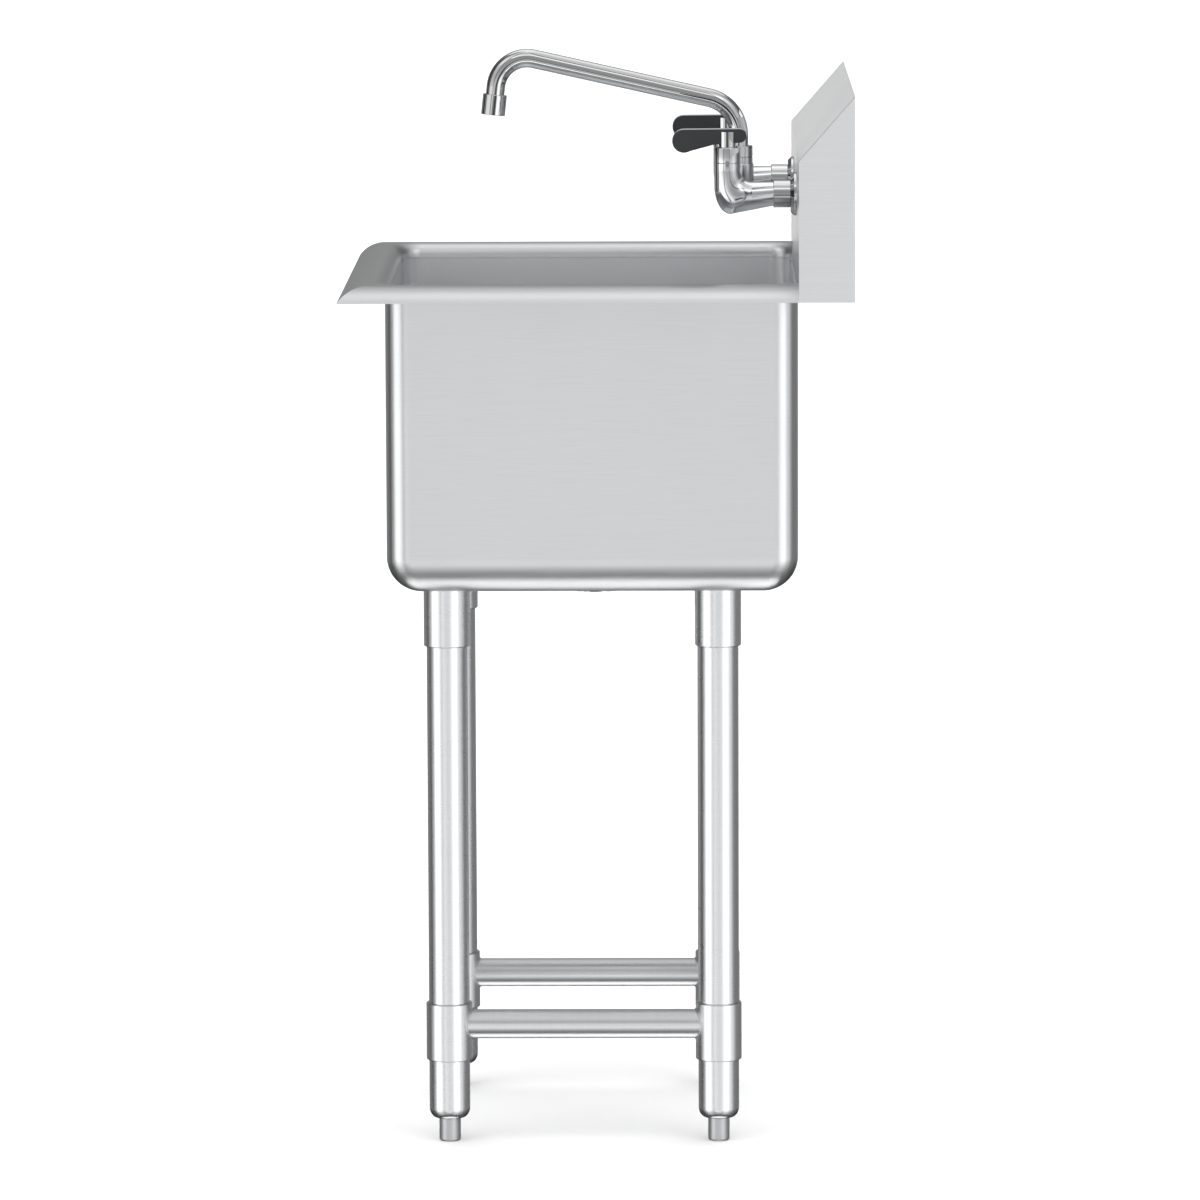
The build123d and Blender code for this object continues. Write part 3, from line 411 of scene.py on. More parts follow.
def brushed_steel(
    name, across, shade=1.0, roughness=None, grain=0.0, seam_and_light_mask=None, seam_and_light_shade=1.0, smooth=False
):
    """Satin steel. across holds 1 for each axis that crosses the brush lines and 0 along them.

    A mask function given to it scales the colour of its place by a given shade: a real dark seam,
    and also painted light where the inside of the bowl is made lighter. A smooth finish has
    broader, calmer lines and no bump, because a bump flickers along the edges of a tube.
    """
    steel = bpy.context.scene.sink_steel
    rough = steel.roughness if roughness is None else roughness
    paint = new_paint(name)
    along_rate = 1 / steel.stroke

    def rates(width):
        return [1 / width if crosses else along_rate for crosses in across]

    broad = paint.noise(rates(steel.line * (2 if smooth else 1)), 3, 0.55)
    cloud = paint.noise(9, 2, 0.5, offset=3.1)
    if smooth:
        lines, calm, relief = broad, steel.smooth, {}
    else:
        fine = paint.noise(rates(steel.fine_line), 2, 0.6, offset=7.3)
        lines, calm = broad * (1 - steel.fine_share) + fine * steel.fine_share, 1.0
        relief = {"Normal": paint.bump(broad, steel.depth)}
    change = steel.change * calm
    dark, light = (rgb(steel.colour, (1 + part) * shade) for part in (-change, change))
    colour = paint.blend(paint.spread(lines, 0.3, 0.7), dark, light)
    # Colour scaled under a mask: darker for a real seam, and lighter as painted light inside the
    # bowl
    if seam_and_light_mask is not None:
        colour = paint.blend(seam_and_light_mask(paint), colour, rgb(steel.colour, seam_and_light_shade))
    gloss = paint.spread(
        lines + (cloud - 0.5) * 0.5, 0.25, 0.75, rough - 0.03 * calm, rough + 0.04 * calm)
    return paint.surface(
        Base_Color=colour, Metallic=1.0, Roughness=gloss,
        Anisotropic=grain, Anisotropic_Rotation=0.25, **relief,
    )


def painted_bounce_light_mask(paint):
    """Mask of the faces that look towards the bowl's middle, where the steel is painted lighter to
    stand in for light bounced round inside the bowl.
    """
    towards = paint.vector("SUBTRACT", tuple(middle("bowl")), paint.place())
    inward = paint.vector("DOT_PRODUCT", towards, paint.facing(), output=1)
    return paint.spread(inward, 0.0, 5 * MM)


def end_seam(paint):
    """Mask of the line where an end of the backsplash closes under the slope."""
    width = bpy.context.scene.sink_screw.seam
    points = [vertex.co for vertex in NODES["backsplash_end_right"].data.vertices]
    front, top = min(p.y for p in points), max(p.z for p in points)
    foot = max((p for p in points if p.y < front + width), key=lambda p: p.z)
    crest = max((p for p in points if p.z > top - width), key=lambda p: p.y)
    across = Vector((0, foot.z - crest.z, crest.y - foot.y)).normalized()
    away = paint.vector("SUBTRACT", paint.place(), tuple(foot))
    below = paint.vector("DOT_PRODUCT", away, tuple(across), output=1)
    return paint.spread(abs(below + width), width / 2, width / 4)


def plated_chrome(name, shade=1.0, waves=1.0, roughness=None):
    """Bright plating with the soft waves and faint wipe marks that polishing leaves."""
    chrome = bpy.context.scene.sink_chrome
    rough = chrome.roughness if roughness is None else roughness
    paint = new_paint(name)
    wave = paint.noise(1 / chrome.wave, 2, 0.4)
    wipe = paint.noise(120, 4, 0.6, offset=5.5)
    colour = paint.blend(wipe, rgb(chrome.colour, 0.97 * shade), rgb(chrome.colour, 1.03 * shade))
    gloss = paint.spread(wipe, 0.35, 0.75, rough * 0.7, rough * 1.6)
    normal = paint.bump(wave, chrome.wave_depth * waves)
    return paint.surface(Base_Color=colour, Metallic=1.0, Roughness=gloss, Normal=normal)


def turned_brass(name):
    """Brass as it comes off the lathe, a little dulled."""
    small = bpy.context.scene.sink_small
    brass = small.brass
    paint = new_paint(name)
    rings = paint.noise((300, 1500, 300), 2, 0.5)
    dull = paint.noise(60, 3, 0.6, offset=2.2)
    colour = paint.blend(paint.spread(dull, 0.35, 0.7), rgb(brass, 0.72), rgb(brass, 1.05))
    gloss = paint.spread(rings + (dull - 0.5) * 0.6, 0.3, 0.7, 0.26, 0.42)
    return paint.surface(
        Base_Color=colour, Metallic=1.0, Roughness=gloss, Normal=paint.bump(rings, small.lathe)
    )


def moulded_black(name, colour, roughness, depth, top=None):
    """Moulded plastic or rubber with a faint grain; given a top colour, faces that look up get a
    painted highlight in it.
    """
    paint = new_paint(name)
    grain = paint.noise(2200, 3, 0.6)
    rub = paint.noise(90, 3, 0.55, offset=4.4)
    tone = paint.blend(paint.spread(rub, 0.35, 0.75), rgb(colour, 0.96), rgb(colour, 1.05))
    # Painted highlight: faces that look up are blended towards the top colour, standing in for the
    # light that a lever's flat top catches
    if top is not None:
        up = paint.node("ShaderNodeSeparateXYZ", None, {0: paint.facing()}, output=2)
        tone = paint.blend(paint.spread(up, 0.6, 0.95), tone, rgb(top))
    gloss = paint.spread(rub, 0.3, 0.75, roughness - 0.02, roughness + 0.03)
    return paint.surface(
        Base_Color=tone, Roughness=gloss, Normal=paint.bump(grain, depth), Specular_IOR_Level=0.5
    )


def dress(material, *names):
    """Gives CAD nodes their finish."""
    for name in names:
        slots = NODES[name].data.materials
        slots.clear()
        slots.append(material)


def each(stem, names):
    return [f"{stem}_{name}" for name in names]


# ---------------------------------------------------------------- shapes
def middle(node):
    low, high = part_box(node)
    return (low + high) / 2


def radius(node):
    """Half the size of a turned node along X."""
    low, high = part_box(node)
    return (high.x - low.x) / 2


def skin(shape, rings, closed=False):
    """Faces between rings of points; a closed skin joins the last ring to the first."""
    loops = [[shape.verts.new(point) for point in ring] for ring in rings]
    following = loops[1:] + loops[:1] if closed else loops[1:]
    for near, far in zip(loops, following):
        for k, corner in enumerate(near):
            after = (k + 1) % len(near)
            shape.faces.new((corner, near[after], far[after], far[k]))
    if not closed:
        shape.faces.new(loops[0])
        shape.faces.new(loops[-1])
    bmesh.ops.recalc_face_normals(shape, faces=shape.faces)


def turned(shape, place, profile, closed=False):
    """Turns a profile of (radius, height) round the Z axis of a placement."""
    angles = [2 * pi * k / FACETS for k in range(FACETS)]
    rings = [
        [place @ Vector((r * cos(angle), r * sin(angle), z)) for angle in angles]
        for r, z in profile
    ]
    skin(shape, rings, closed)


def placed(point, axis="Z"):
    """Placement at a point with its Z axis along an axis of the frame."""
    turn = {"X": Matrix.Rotation(pi / 2, 4, "Y"), "Y": Matrix.Rotation(-pi / 2, 4, "X")}
    return Matrix.Translation(point) @ turn.get(axis, Matrix.Identity(4))


def rough_object(name, shape):
    mesh = bpy.data.meshes.new(name)
    shape.to_mesh(mesh)
    shape.free()
    piece = bpy.data.objects.new(name, mesh)
    bpy.context.scene.collection.objects.link(piece)
    return piece


def combine(base, operation, others):
    """Joins other objects to the base or cuts them from it."""
    tools = bpy.data.collections.new("tools")
    for other in others:
        tools.objects.link(other)
    change = base.modifiers.new(operation, "BOOLEAN")
    change.operation = operation
    change.operand_type = "COLLECTION"
    change.collection = tools
    change.solver = "EXACT"
    evaluated = base.evaluated_get(bpy.context.evaluated_depsgraph_get())
    mesh = bpy.data.meshes.new_from_object(evaluated)
    base.modifiers.clear()
    base.data = mesh
    for other in others:
        bpy.data.objects.remove(other)
    bpy.data.collections.remove(tools)


def finish(piece, material, body, replaced=(), crease=32):
    """Shades a new piece, gives it its finish and lets it ride on a body."""
    piece.data.materials.clear()
    piece.data.materials.append(material)
    piece.data.shade_smooth()
    piece.data.set_sharp_from_angle(angle=radians(crease))
    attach(piece, body)
    if replaced:
        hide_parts(*replaced)


# ---------------------------------------------------------------- operators
class SINK_OT_steel(bpy.types.Operator):
    """Finishes the bowl, rims, backsplash, legs and rails in brushed steel"""

    bl_idname = "sink.steel"
    bl_label = "Brushed steel"

    def execute(self, context):
        level = (0, 0, 1)
        # The inside of the bowl is painted 1.21 times lighter, as painted light for the light
        # bounced round inside it
        bowl = brushed_steel("bowl_steel", level, grain=0.5, seam_and_light_mask=painted_bounce_light_mask, seam_and_light_shade=1.21)
        dress(bowl, "bowl")
        dress(brushed_steel("rim_front_steel", (0, 1, 1)), "rim_front")
        dress(brushed_steel("rim_side_steel", (1, 0, 1)), "rim_left", "rim_right")
        dress(brushed_steel("splash_steel", (0, 1, 1)), "backsplash")
        ends = brushed_steel("splash_end_steel", (1, 0, 1), seam_and_light_mask=end_seam, seam_and_light_shade=0.45)
        dress(ends, *each("backsplash_end", SIDES))
        tubes = brushed_steel("leg_steel", level, roughness=0.28, smooth=True)
        dress(tubes, *each("leg_tube", LEGS))
        collars = brushed_steel("socket_steel", level, 1.02, 0.28, smooth=True)
        dress(collars, *each("leg_socket", LEGS), *each("rail_collar", LEGS))
        dress(brushed_steel("rail_steel", (0, 1, 0)), *each("side_rail", SIDES))
        feet = brushed_steel("foot_steel", level, 0.95, 0.26, smooth=True)
        dress(feet, *each("bullet_foot", LEGS), *each("foot_stem", LEGS))
        dress(brushed_steel("screw_steel", (1, 1, 1), 0.75, 0.35), "leg_set_screws",
              *each("handle_screw", SIDES))
        dress(brushed_steel("strainer_steel", level, 1.0, 0.25), "strainer")
        return {"FINISHED"}


class SINK_OT_chrome(bpy.types.Operator):
    """Finishes the faucet and the drain in bright chrome"""

    bl_idname = "sink.chrome"
    bl_label = "Chrome"

    def execute(self, context):
        dress(plated_chrome("faucet_chrome"), "faucet_body", "union_nuts", "spout_nut",
              *each("bonnet", SIDES), *each("wall_flange", SIDES))
        dress(plated_chrome("spout_chrome", waves=0.5), "spout")
        dress(plated_chrome("nozzle_chrome", waves=0.3), "spout_nozzle")
        dress(plated_chrome("handle_chrome", waves=0.3), *each("handle_hub", SIDES))
        dress(plated_chrome("drain_chrome", 0.95, 0.5, 0.12), "drain_body")
        return {"FINISHED"}


class SINK_OT_casting(bpy.types.Operator):
    """Builds the faucet body in one smooth casting, and the bonnets on its columns"""

    bl_idname = "sink.casting"
    bl_label = "Faucet casting"

    def execute(self, context):
        size = context.scene.sink_faucet
        chrome = bpy.data.materials["faucet_chrome"]
        solids = [self.elbow(size, f"bonnet_{side}") for side in SIDES]
        solids += [self.bridge(size), self.boss(size)]
        casting = solids.pop()
        combine(casting, "UNION", solids)
        combine(casting, "DIFFERENCE", self.bores(size))
        casting.name = "faucet_casting"
        finish(casting, chrome, "stand", ["faucet_body"])
        for side in SIDES:
            finish(self.bonnet(size, side), chrome, "stand", [f"bonnet_{side}"])
        return {"FINISHED"}

    def elbow(self, size, bonnet):
        """One column with its elbow and arm: oval sections between two outlines."""
        column = middle(bonnet)
        wide = radius(bonnet)
        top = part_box(bonnet)[0].z + size.bonnet_rise
        nuts_low, nuts_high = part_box("union_nuts")
        arm_z = (nuts_low.z + nuts_high.z) / 2
        front, bottom = column.y - wide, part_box("faucet_body")[0].z
        inner = size.inner_round
        pivot = Vector((column.y + wide + inner, arm_z + size.arm_end + inner))
        heel = Vector((front + size.heel_length, bottom + size.heel_height))
        outline, heel_steps = [Vector((front, pivot.y))], 32
        for k in range(heel_steps + 1):
            turn = pi / 2 * k / heel_steps
            outline.append(Vector((
                heel.x - size.heel_length * cos(turn), heel.y - size.heel_height * sin(turn)
            )))
        outline.append(Vector((nuts_low.y, arm_z - size.arm_end)))

        def ring(near, far, half_width):
            centre, reach = (near + far) / 2, (far - near) / 2
            points = []
            for k in range(FACETS):
                turn = 2 * pi * k / FACETS
                flat = centre + reach * cos(turn)
                points.append(Vector((column.x + half_width * sin(turn), flat.x, flat.y)))
            return points

        def level(height, half):
            return ring(Vector((column.y + half, height)), Vector((column.y - half, height)), half)

        rings = [level(top, wide - size.chamfer), level(top - size.chamfer, wide)]
        steps = 48
        for k in range(steps + 1):
            share = k / steps
            ray = Vector((-cos(pi / 2 * share), -sin(pi / 2 * share)))
            reach = self.meet(pivot, ray, outline)
            end_width = (reach - inner) / 2
            half = wide + (end_width - wide) * share**3 + size.elbow_bulge * sin(pi * share)
            rings.append(ring(pivot + ray * inner, pivot + ray * reach, half))
        end = Vector((nuts_low.y, arm_z))
        rise = Vector((0, size.arm_end))
        rings.append(ring(end + rise, end - rise, size.arm_end))
        shape = bmesh.new()
        skin(shape, rings)
        return rough_object("elbow", shape)

    def meet(self, start, ray, outline):
        """Distance along a ray to an outline of points."""
        side = Vector((-ray.y, ray.x))
        for near, far in zip(outline, outline[1:]):
            before, after = (near - start).dot(side), (far - start).dot(side)
            if before * after <= 0 and before != after:
                crossing = near.lerp(far, before / (before - after))
                return (crossing - start).dot(ray)
        raise ValueError("The outline of an elbow leaves a gap.")

    def bridge(self, size):
        nut = middle("union_nuts")
        left, right = (middle(f"bonnet_{side}") for side in SIDES)
        half = (right.x - left.x) / 2
        profile, steps = [], 80
        for k in range(steps + 1):
            x = half * (2 * k / steps - 1)
            near = min(half - radius("bonnet_left") - abs(x), abs(x) - size.boss)
            grown = max(0.0, 1 - max(0.0, near) / (4 * size.flare))
            profile.append((size.bridge + size.flare * grown**2 * (3 - 2 * grown), x))
        shape = bmesh.new()
        centre = Vector((0, left.y + size.bridge_back, nut.z - size.bridge_drop))
        turned(shape, placed(centre, "X"), profile)
        return rough_object("bridge", shape)

    def boss(self, size):
        nut = middle("spout_nut")
        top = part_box("spout_nut")[0].z
        low, steps = middle("union_nuts").z - size.boss_drop, 20
        angles = [pi / 2 * k / steps for k in range(2, steps + 1)]
        profile = [(size.boss * sin(angle), low - size.boss * cos(angle)) for angle in angles]
        profile += [(size.boss, top - size.chamfer), (size.boss - size.chamfer, top)]
        shape = bmesh.new()
        turned(shape, placed(Vector((0, nut.y, 0))), profile)
        return rough_object("boss", shape)

    def bores(self, size):
        """Room for cartridges, spout and water."""
        cutters = []
        for node, axis in (
            ("valve_cartridge_left", "Z"), ("valve_cartridge_right", "Z"), ("spout_seal", "Z"),
            ("spout", "Z"), ("inlet_shank_left", "Y"), ("inlet_shank_right", "Y"),
        ):
            low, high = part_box(node)
            centre = middle(node)
            if node == "spout":
                centre.y, wide = middle("spout_nut").y, size.spout_bore
            elif axis == "Y":
                wide = size.waterway
                low.y = middle("bonnet_left").y
            else:
                wide = radius(node) + size.clear / 2
            start = Vector((centre.x, centre.y, low.z)) if axis == "Z" else Vector(
                (centre.x, low.y, centre.z))
            length = high.z - low.z if axis == "Z" else high.y - low.y
            shape = bmesh.new()
            turned(shape, placed(start, axis), [(wide, 0), (wide, length)])
            cutters.append(rough_object("bore", shape))
        return cutters

    def bonnet(self, size, side):
        node = f"bonnet_{side}"
        low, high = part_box(node)
        wide, bore = radius(node), radius(f"handle_hub_{side}") + size.clear
        cartridge = f"valve_cartridge_{side}"
        seat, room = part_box(cartridge)[1].z + size.clear, radius(cartridge) + size.clear
        bottom, top, edge = low.z + size.bonnet_rise, high.z + size.bonnet_rise, size.chamfer
        shape = bmesh.new()
        turned(shape, placed(Vector((middle(node).x, middle(node).y, 0))), [
            (room, bottom), (wide - edge, bottom), (wide, bottom + edge),
            (wide, top - 2.5 * edge), (wide - 0.7 * edge, top - 0.7 * edge),
            (wide - 2.5 * edge, top), (bore, top), (bore, seat), (room, seat),
        ], closed=True)
        return rough_object(f"bonnet_ring_{side}", shape)


class SINK_OT_screws(bpy.types.Operator):
    """Builds the threads of feet and shanks and the welds of sockets and rails"""

    bl_idname = "sink.screws"
    bl_label = "Threads and welds"

    def execute(self, context):
        size = context.scene.sink_screw
        for leg in LEGS:
            self.foot(size, leg)
        for side in SIDES:
            self.shank(size, side)
        self.welds(size)
        return {"FINISHED"}

    def thread(self, start, end, crest, pitch):
        """Rings of a screw thread along Z that runs out at its end."""
        count = round((end - start) / pitch * THREAD_STEPS)
        depth = 0.5 * pitch
        rings = []
        for j in range(count + 1):
            z = start + (end - start) * j / count
            fade = min(1.0, (end - z) / pitch)
            ring = []
            for k in range(THREAD_FACETS):
                groove = abs((z / pitch - k / THREAD_FACETS) % 1 * 2 - 1)
                r = crest - depth * (groove * fade + 1 - fade)
                ring.append((r, 2 * pi * k / THREAD_FACETS, z))
            rings.append(ring)
        return rings

    def plain(self, profile):
        """Rings without thread, of radius and height."""
        angles = [2 * pi * k / THREAD_FACETS for k in range(THREAD_FACETS)]
        return [[(r, angle, z) for angle in angles] for r, z in profile]

    def build(self, name, place, rings, closed):
        """Piece with a skin over rings of radius, angle and height."""
        shape = bmesh.new()
        skin(shape, [[place @ Vector((r * cos(a), r * sin(a), z)) for r, a, z in ring]
                     for ring in rings], closed)
        return rough_object(name, shape)

    def foot(self, size, leg):
        node = f"foot_stem_{leg}"
        low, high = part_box(node)
        wide, shoulder, bend = radius(node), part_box(f"bullet_foot_{leg}")[0].z, size.stub_round
        rounding = [(wide - bend + bend * sin(a), low.z + bend - bend * cos(a))
                    for a in (radians(15 * k) for k in range(7))]
        rings = self.plain([*rounding, (wide, shoulder)])
        rings += self.thread(shoulder, high.z, size.rod, size.foot_pitch)
        place = Matrix.Translation((middle(node).x, middle(node).y, 0))
        piece = self.build(f"foot_screw_{leg}", place, rings, False)
        finish(piece, bpy.data.materials["foot_steel"], f"foot_{leg}", [node], crease=28)

    def shank(self, size, side):
        node = f"inlet_shank_{side}"
        low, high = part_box(node)
        crest, nut = radius(node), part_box("shank_lock_nuts")[1].y
        start = nut + size.shank_clear - low.y
        slim, end = crest - size.shank_relief, high.y - low.y
        rings = self.plain([(size.shank_bore, 0), (slim, 0), (slim, start)])
        rings += self.thread(start, end, crest, size.shank_pitch)
        rings += self.plain([(size.shank_bore, end)])
        place = placed(Vector((middle(node).x, low.y, middle(node).z)), "Y")
        piece = self.build(f"shank_screw_{side}", place, rings, True)
        finish(piece, bpy.data.materials["shank_brass"], "stand", [node], crease=28)

    def welds(self, size):
        """Rippled beads round the sockets' tops and where rails meet collars."""
        shape = bmesh.new()
        for leg in LEGS:
            socket, collar = f"leg_socket_{leg}", f"rail_collar_{leg}"
            self.bead(size, shape, radius(socket), self.under_bowl(socket))
            rail = f"side_rail_{leg.split('_')[1]}"
            inward = 1 if "front" in leg else -1
            self.bead(size, shape, radius(rail), self.on_collar(collar, rail, inward))
        bmesh.ops.recalc_face_normals(shape, faces=shape.faces)
        beads = rough_object("weld_beads", shape)
        finish(beads, bpy.data.materials["socket_steel"], "stand", crease=50)

    def under_bowl(self, socket):
        """Where the points of a bead round a socket's top lie."""
        centre, top = middle(socket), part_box(socket)[1].z
        return lambda out, along: Vector((centre.x + out.x, centre.y + out.y, top - along))

    def on_collar(self, collar, rail, inward):
        """Where the points of a bead round a rail's end lie, on the round side of its collar."""
        hub, level, wide = middle(collar), middle(rail).z, radius(collar)

        def at(out, along):
            reach = (wide**2 - out.x**2) ** 0.5 + along
            return Vector((hub.x + out.x, hub.y + inward * reach, level + out.y))

        return at

    def bead(self, size, shape, wide, at):
        """Closed ring of weld; at places a point from its offset and its way along the tube."""
        ripples = round(2 * pi * wide / size.ripple)
        sides = ripples * BEAD_STEPS
        rings = []
        for j in range(BEAD_FACETS):
            lean = 2 * pi * j / BEAD_FACETS
            ring = []
            for k in range(sides):
                turn = 2 * pi * k / sides
                swell = size.bead * (0.8 + 0.2 * abs(sin(pi * ripples * k / sides)))
                reach = wide + swell * cos(lean)
                out = Vector((reach * cos(turn), reach * sin(turn)))
                ring.append(at(out, swell * sin(lean)))
            rings.append(ring)
        skin(shape, rings, True)


class SINK_OT_small(bpy.types.Operator):
    """Finishes levers, rubber, brass and the index buttons"""

    bl_idname = "sink.small"
    bl_label = "Levers and small pieces"

    def execute(self, context):
        small = context.scene.sink_small
        # Lever faces that look up get a painted highlight
        dress(moulded_black("handle_black", small.lever, 0.3, small.grain, small.lever_sheen_and_cap),
              *each("handle_lever", SIDES))
        dress(moulded_black("black_rubber", small.rubber, 0.7, small.rubber_grain),
              "drain_gasket", "shank_washers", "spout_seal")
        dress(turned_brass("shank_brass"), "drain_nut", "shank_lock_nuts",
              *each("inlet_shank", SIDES), *each("valve_cartridge", SIDES),
              *each("valve_stem", SIDES))
        dress(self.button("hot_red", small, small.hot, "left"), "index_button_left")
        dress(self.button("cold_blue", small, small.cold, "right"), "index_button_right")
        return {"FINISHED"}

    def button(self, name, small, colour, side):
        """Grey cap with a coloured dot in its middle."""
        paint = new_paint(name)
        away = paint.vector("SUBTRACT", paint.place(), tuple(middle(f"index_button_{side}")))
        flat = paint.vector("MULTIPLY", away, (1, 1, 0))
        reach = paint.vector("LENGTH", flat, output=1)
        rub = paint.noise(400, 3, 0.55)
        edge = paint.spread(reach, small.dot - small.dot_edge, small.dot + small.dot_edge)
        tone = paint.blend(edge, rgb(colour), rgb(small.lever_sheen_and_cap, 0.9))
        gloss = paint.spread(rub, 0.3, 0.75, 0.22, 0.34)
        return paint.surface(Base_Color=tone, Roughness=gloss)


class SINK_OT_stage(bpy.types.Operator):
    """Makes the floor, the studio light and the camera"""

    bl_idname = "sink.stage"
    bl_label = "Studio"

    def execute(self, context):
        stage = context.scene.sink_stage
        self.floor(stage)
        self.surroundings(context, stage)
        self.fills(context)
        for name, (turn, lift, wide, tall, brightness) in CARDS.items():
            card = self.card(name, turn, lift, wide, tall, brightness)
            self.light_only(context, card, "chrome")
        self.camera(context, stage)
        context.scene.view_settings.view_transform = "Standard"
        return {"FINISHED"}

    def floor(self, stage):
        shape = bmesh.new()
        bmesh.ops.create_circle(shape, cap_ends=True, segments=FACETS, radius=stage.floor_radius)
        floor = rough_object("studio_floor", shape)
        paint = new_paint("studio_floor")
        cloud = paint.noise(0.8, 2, 0.5)
        tone = paint.blend(cloud, rgb(stage.floor, 0.995), rgb(stage.floor, 1.005))
        floor.data.materials.append(paint.surface(Base_Color=tone, Roughness=0.6))
        floor.visible_glossy = False
        floor.visible_shadow = False
        floor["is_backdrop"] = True

    def surroundings(self, context, stage):
        """White studio: softboxes and dark cards round the object, and a broad lamp over it."""
        world = bpy.data.worlds.new("studio")
        context.scene.world = world
        paint = Paint(world)
        where = paint.node("ShaderNodeTexCoord", output="Generated")
        parts = paint.node("ShaderNodeSeparateXYZ", None, {0: where})
        across = Value(paint, parts.socket.node.outputs[1])
        height = Value(paint, parts.socket.node.outputs[2])
        turn = paint.math("ARCTAN2", across, parts) * (0.5 / pi) + 0.5
        lift = paint.math("ARCSINE", height, 0) * (1 / pi) + 0.5

        def bands(value, full, levels):
            stops = [(angle / full + 0.5, (level / 2,) * 3) for angle, level in levels]
            return paint.node("ShaderNodeValToRGB", {"stops": stops}, {"Fac": value}) * 2

        round_it = bands(turn, 360, STUDIO_ROUND)
        up_it = bands(lift, 180, STUDIO_UP)
        card_lift, tall, wide = DARK_CARD
        core_wide, core_tall = CARD_CORE
        card = paint.spread(abs(turn - 0.5), wide / 360, core_wide * wide / 360) * paint.spread(
            abs(lift - (card_lift / 180 + 0.5)), tall / 180, core_tall * tall / 180
        )
        behind = paint.spread(parts, *BACK_AWAY) * paint.spread(height, *BACK_DOWN)
        pole = paint.spread(abs(height), *POLE)
        strips = 1.0
        for value, full, places in ((turn, 360, STRIPS_ROUND), (lift, 180, STRIPS_UP)):
            for angle, half in places:
                strip = paint.spread(
                    abs(value - (angle / full + 0.5)), half / full, STRIP_CORE * half / full)
                strips = strips * (1 - STRIP_DARKNESS * strip)
        light = paint.node(
            "ShaderNodeBackground", None,
            {
                "Color": up_it * (round_it * (1 - pole) + pole)
                * strips * (1 - CARD_DARKNESS * card) * (1 - BACK_DARKNESS * behind),
                "Strength": stage.surroundings,
            },
        )
        paint.node("ShaderNodeOutputWorld", None, {"Surface": light})
        lamp = bpy.data.lights.new("overhead", "SUN")
        lamp.energy = stage.overhead
        lamp.angle = radians(OVERHEAD_WIDTH)
        overhead = bpy.data.objects.new("overhead", lamp)
        overhead.visible_glossy = False
        context.scene.collection.objects.link(overhead)

    def fills(self, context):
        """Soft lamps for one finish each."""
        for name, (lit_finish, turn, lift, width, brightness) in FILLS.items():
            lamp = bpy.data.lights.new(name, "SUN")
            lamp.angle = radians(width)
            lamp.energy = brightness * pi * tan(radians(width / 2)) ** 2
            fill = bpy.data.objects.new(name, lamp)
            fill.matrix_world = self.outward(turn, lift)
            context.scene.collection.objects.link(fill)
            self.light_only(context, fill, lit_finish)

    def outward(self, turn, lift):
        """Rotation whose Z axis points to a place in the studio, in degrees."""
        turn, lift = radians(turn), radians(lift)
        place = Vector((cos(lift) * cos(turn), cos(lift) * sin(turn), sin(lift)))
        return place.to_track_quat("Z", "Y").to_matrix().to_4x4()

    def light_only(self, context, light, lit_finish):
        """Lets a light reach only the pieces whose material has this finish in its name."""
        lit = bpy.data.collections.new(f"lit_by_{light.name}")
        for piece in context.scene.objects:
            materials = piece.data.materials if piece.type == "MESH" else ()
            if any(lit_finish in material.name for material in materials):
                lit.objects.link(piece)
        light.light_linking.receiver_collection = lit

    def card(self, name, turn, lift, wide, tall, brightness):
        """White rectangle that faces the faucet."""
        half_wide = CARD_DISTANCE * tan(radians(wide / 2))
        half_tall = CARD_DISTANCE * tan(radians(tall / 2))
        shape = bmesh.new()
        corners = [(-1, -1), (1, -1), (1, 1), (-1, 1)]
        shape.faces.new(
            [shape.verts.new((x * half_wide, y * half_tall, CARD_DISTANCE)) for x, y in corners])
        card = rough_object(name, shape)
        faucet = Matrix.Translation(middle("bonnet_right"))
        card.matrix_world = faucet @ self.outward(turn, lift)
        paint = new_paint(name)
        clear = paint.node("ShaderNodeBsdfTransparent")
        glow = paint.node("ShaderNodeEmission", None, {"Strength": brightness})
        both = paint.node("ShaderNodeAddShader", None, {0: clear, 1: glow})
        paint.node("ShaderNodeOutputMaterial", None, {"Surface": both})
        card.data.materials.append(paint.owner)
        card.visible_camera = card.visible_diffuse = card.visible_shadow = False
        card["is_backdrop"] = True
        return card

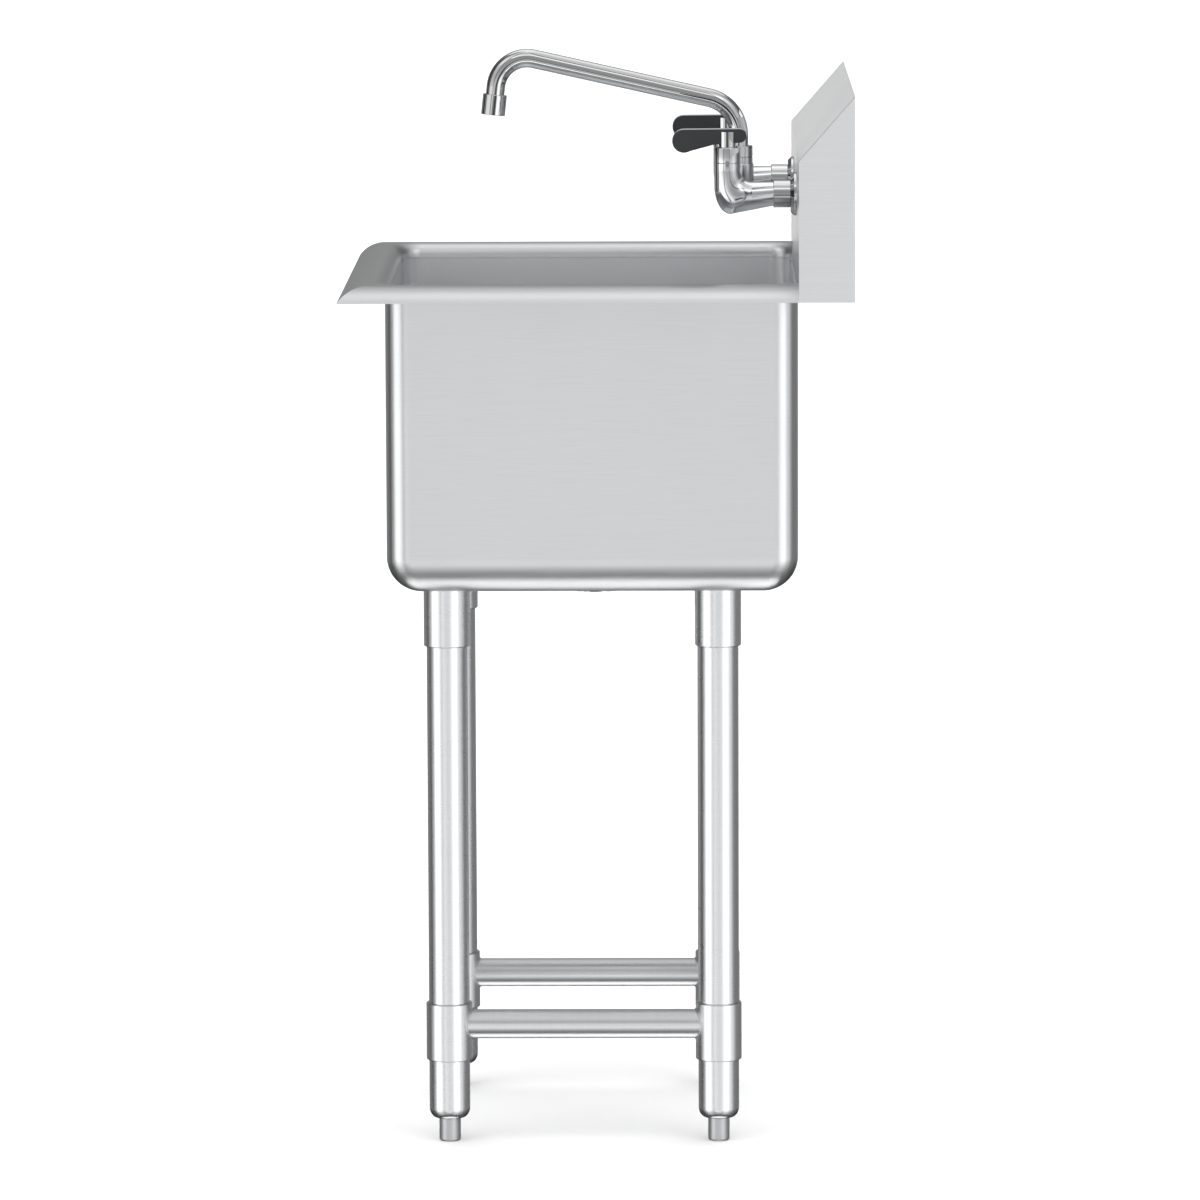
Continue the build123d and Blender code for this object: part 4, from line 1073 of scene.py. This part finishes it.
    def camera(self, context, stage):
        data = bpy.data.cameras.new("camera")
        data.sensor_width = SENSOR_WIDTH
        data.lens = stage.lens
        data.clip_end = VIEW_DISTANCE
        camera = bpy.data.objects.new("camera", data)
        context.scene.collection.objects.link(camera)
        forward = Vector((
            -cos(stage.yaw) * cos(stage.pitch), sin(stage.yaw) * cos(stage.pitch), -sin(stage.pitch)
        ))
        right = Vector((sin(stage.yaw), cos(stage.yaw), 0))
        up = right.cross(forward)
        level_right = cos(stage.roll) * right + sin(stage.roll) * up
        level_up = cos(stage.roll) * up - sin(stage.roll) * right
        turn = Matrix((level_right, level_up, -forward)).transposed()
        camera.matrix_world = Matrix.Translation(stage.camera_place) @ turn.to_4x4()
        context.scene.camera = camera


class SINK_PT_panel(bpy.types.Panel):
    """Lists the sink's pieces and their settings"""

    bl_idname = "SINK_PT_panel"
    bl_label = "Utility sink"
    bl_space_type = "VIEW_3D"
    bl_region_type = "UI"
    bl_category = "Sink"

    def draw(self, context):
        for operator in OPERATORS:
            self.layout.operator(operator.bl_idname)
        for name, group in SETTINGS.items():
            box = self.layout.box()
            for setting in group.__annotations__:
                box.prop(getattr(context.scene, name), setting)


SETTINGS = {
    "sink_steel": SteelSettings,
    "sink_chrome": ChromeSettings,
    "sink_faucet": FaucetSettings,
    "sink_screw": ScrewSettings,
    "sink_small": SmallSettings,
    "sink_stage": StageSettings,
}
OPERATORS = (
    SINK_OT_steel, SINK_OT_chrome, SINK_OT_casting, SINK_OT_small, SINK_OT_screws, SINK_OT_stage
)


def register():
    for kind in (*SETTINGS.values(), *OPERATORS, SINK_PT_panel):
        bpy.utils.register_class(kind)
    for name, group in SETTINGS.items():
        setattr(bpy.types.Scene, name, PointerProperty(type=group))


def unregister():
    for name in SETTINGS:
        delattr(bpy.types.Scene, name)
    for kind in (SINK_PT_panel, *reversed(OPERATORS), *reversed(SETTINGS.values())):
        bpy.utils.unregister_class(kind)


def main():
    register()
    bpy.ops.sink.steel()
    bpy.ops.sink.chrome()
    bpy.ops.sink.casting()
    bpy.ops.sink.small()
    bpy.ops.sink.screws()
    bpy.ops.sink.stage()
    boxes = {"cad": cad_box, "visual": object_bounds()}
    {name: [list(c) for c in box] for name, box in boxes.items()}


if __name__ == "__main__":
    main()
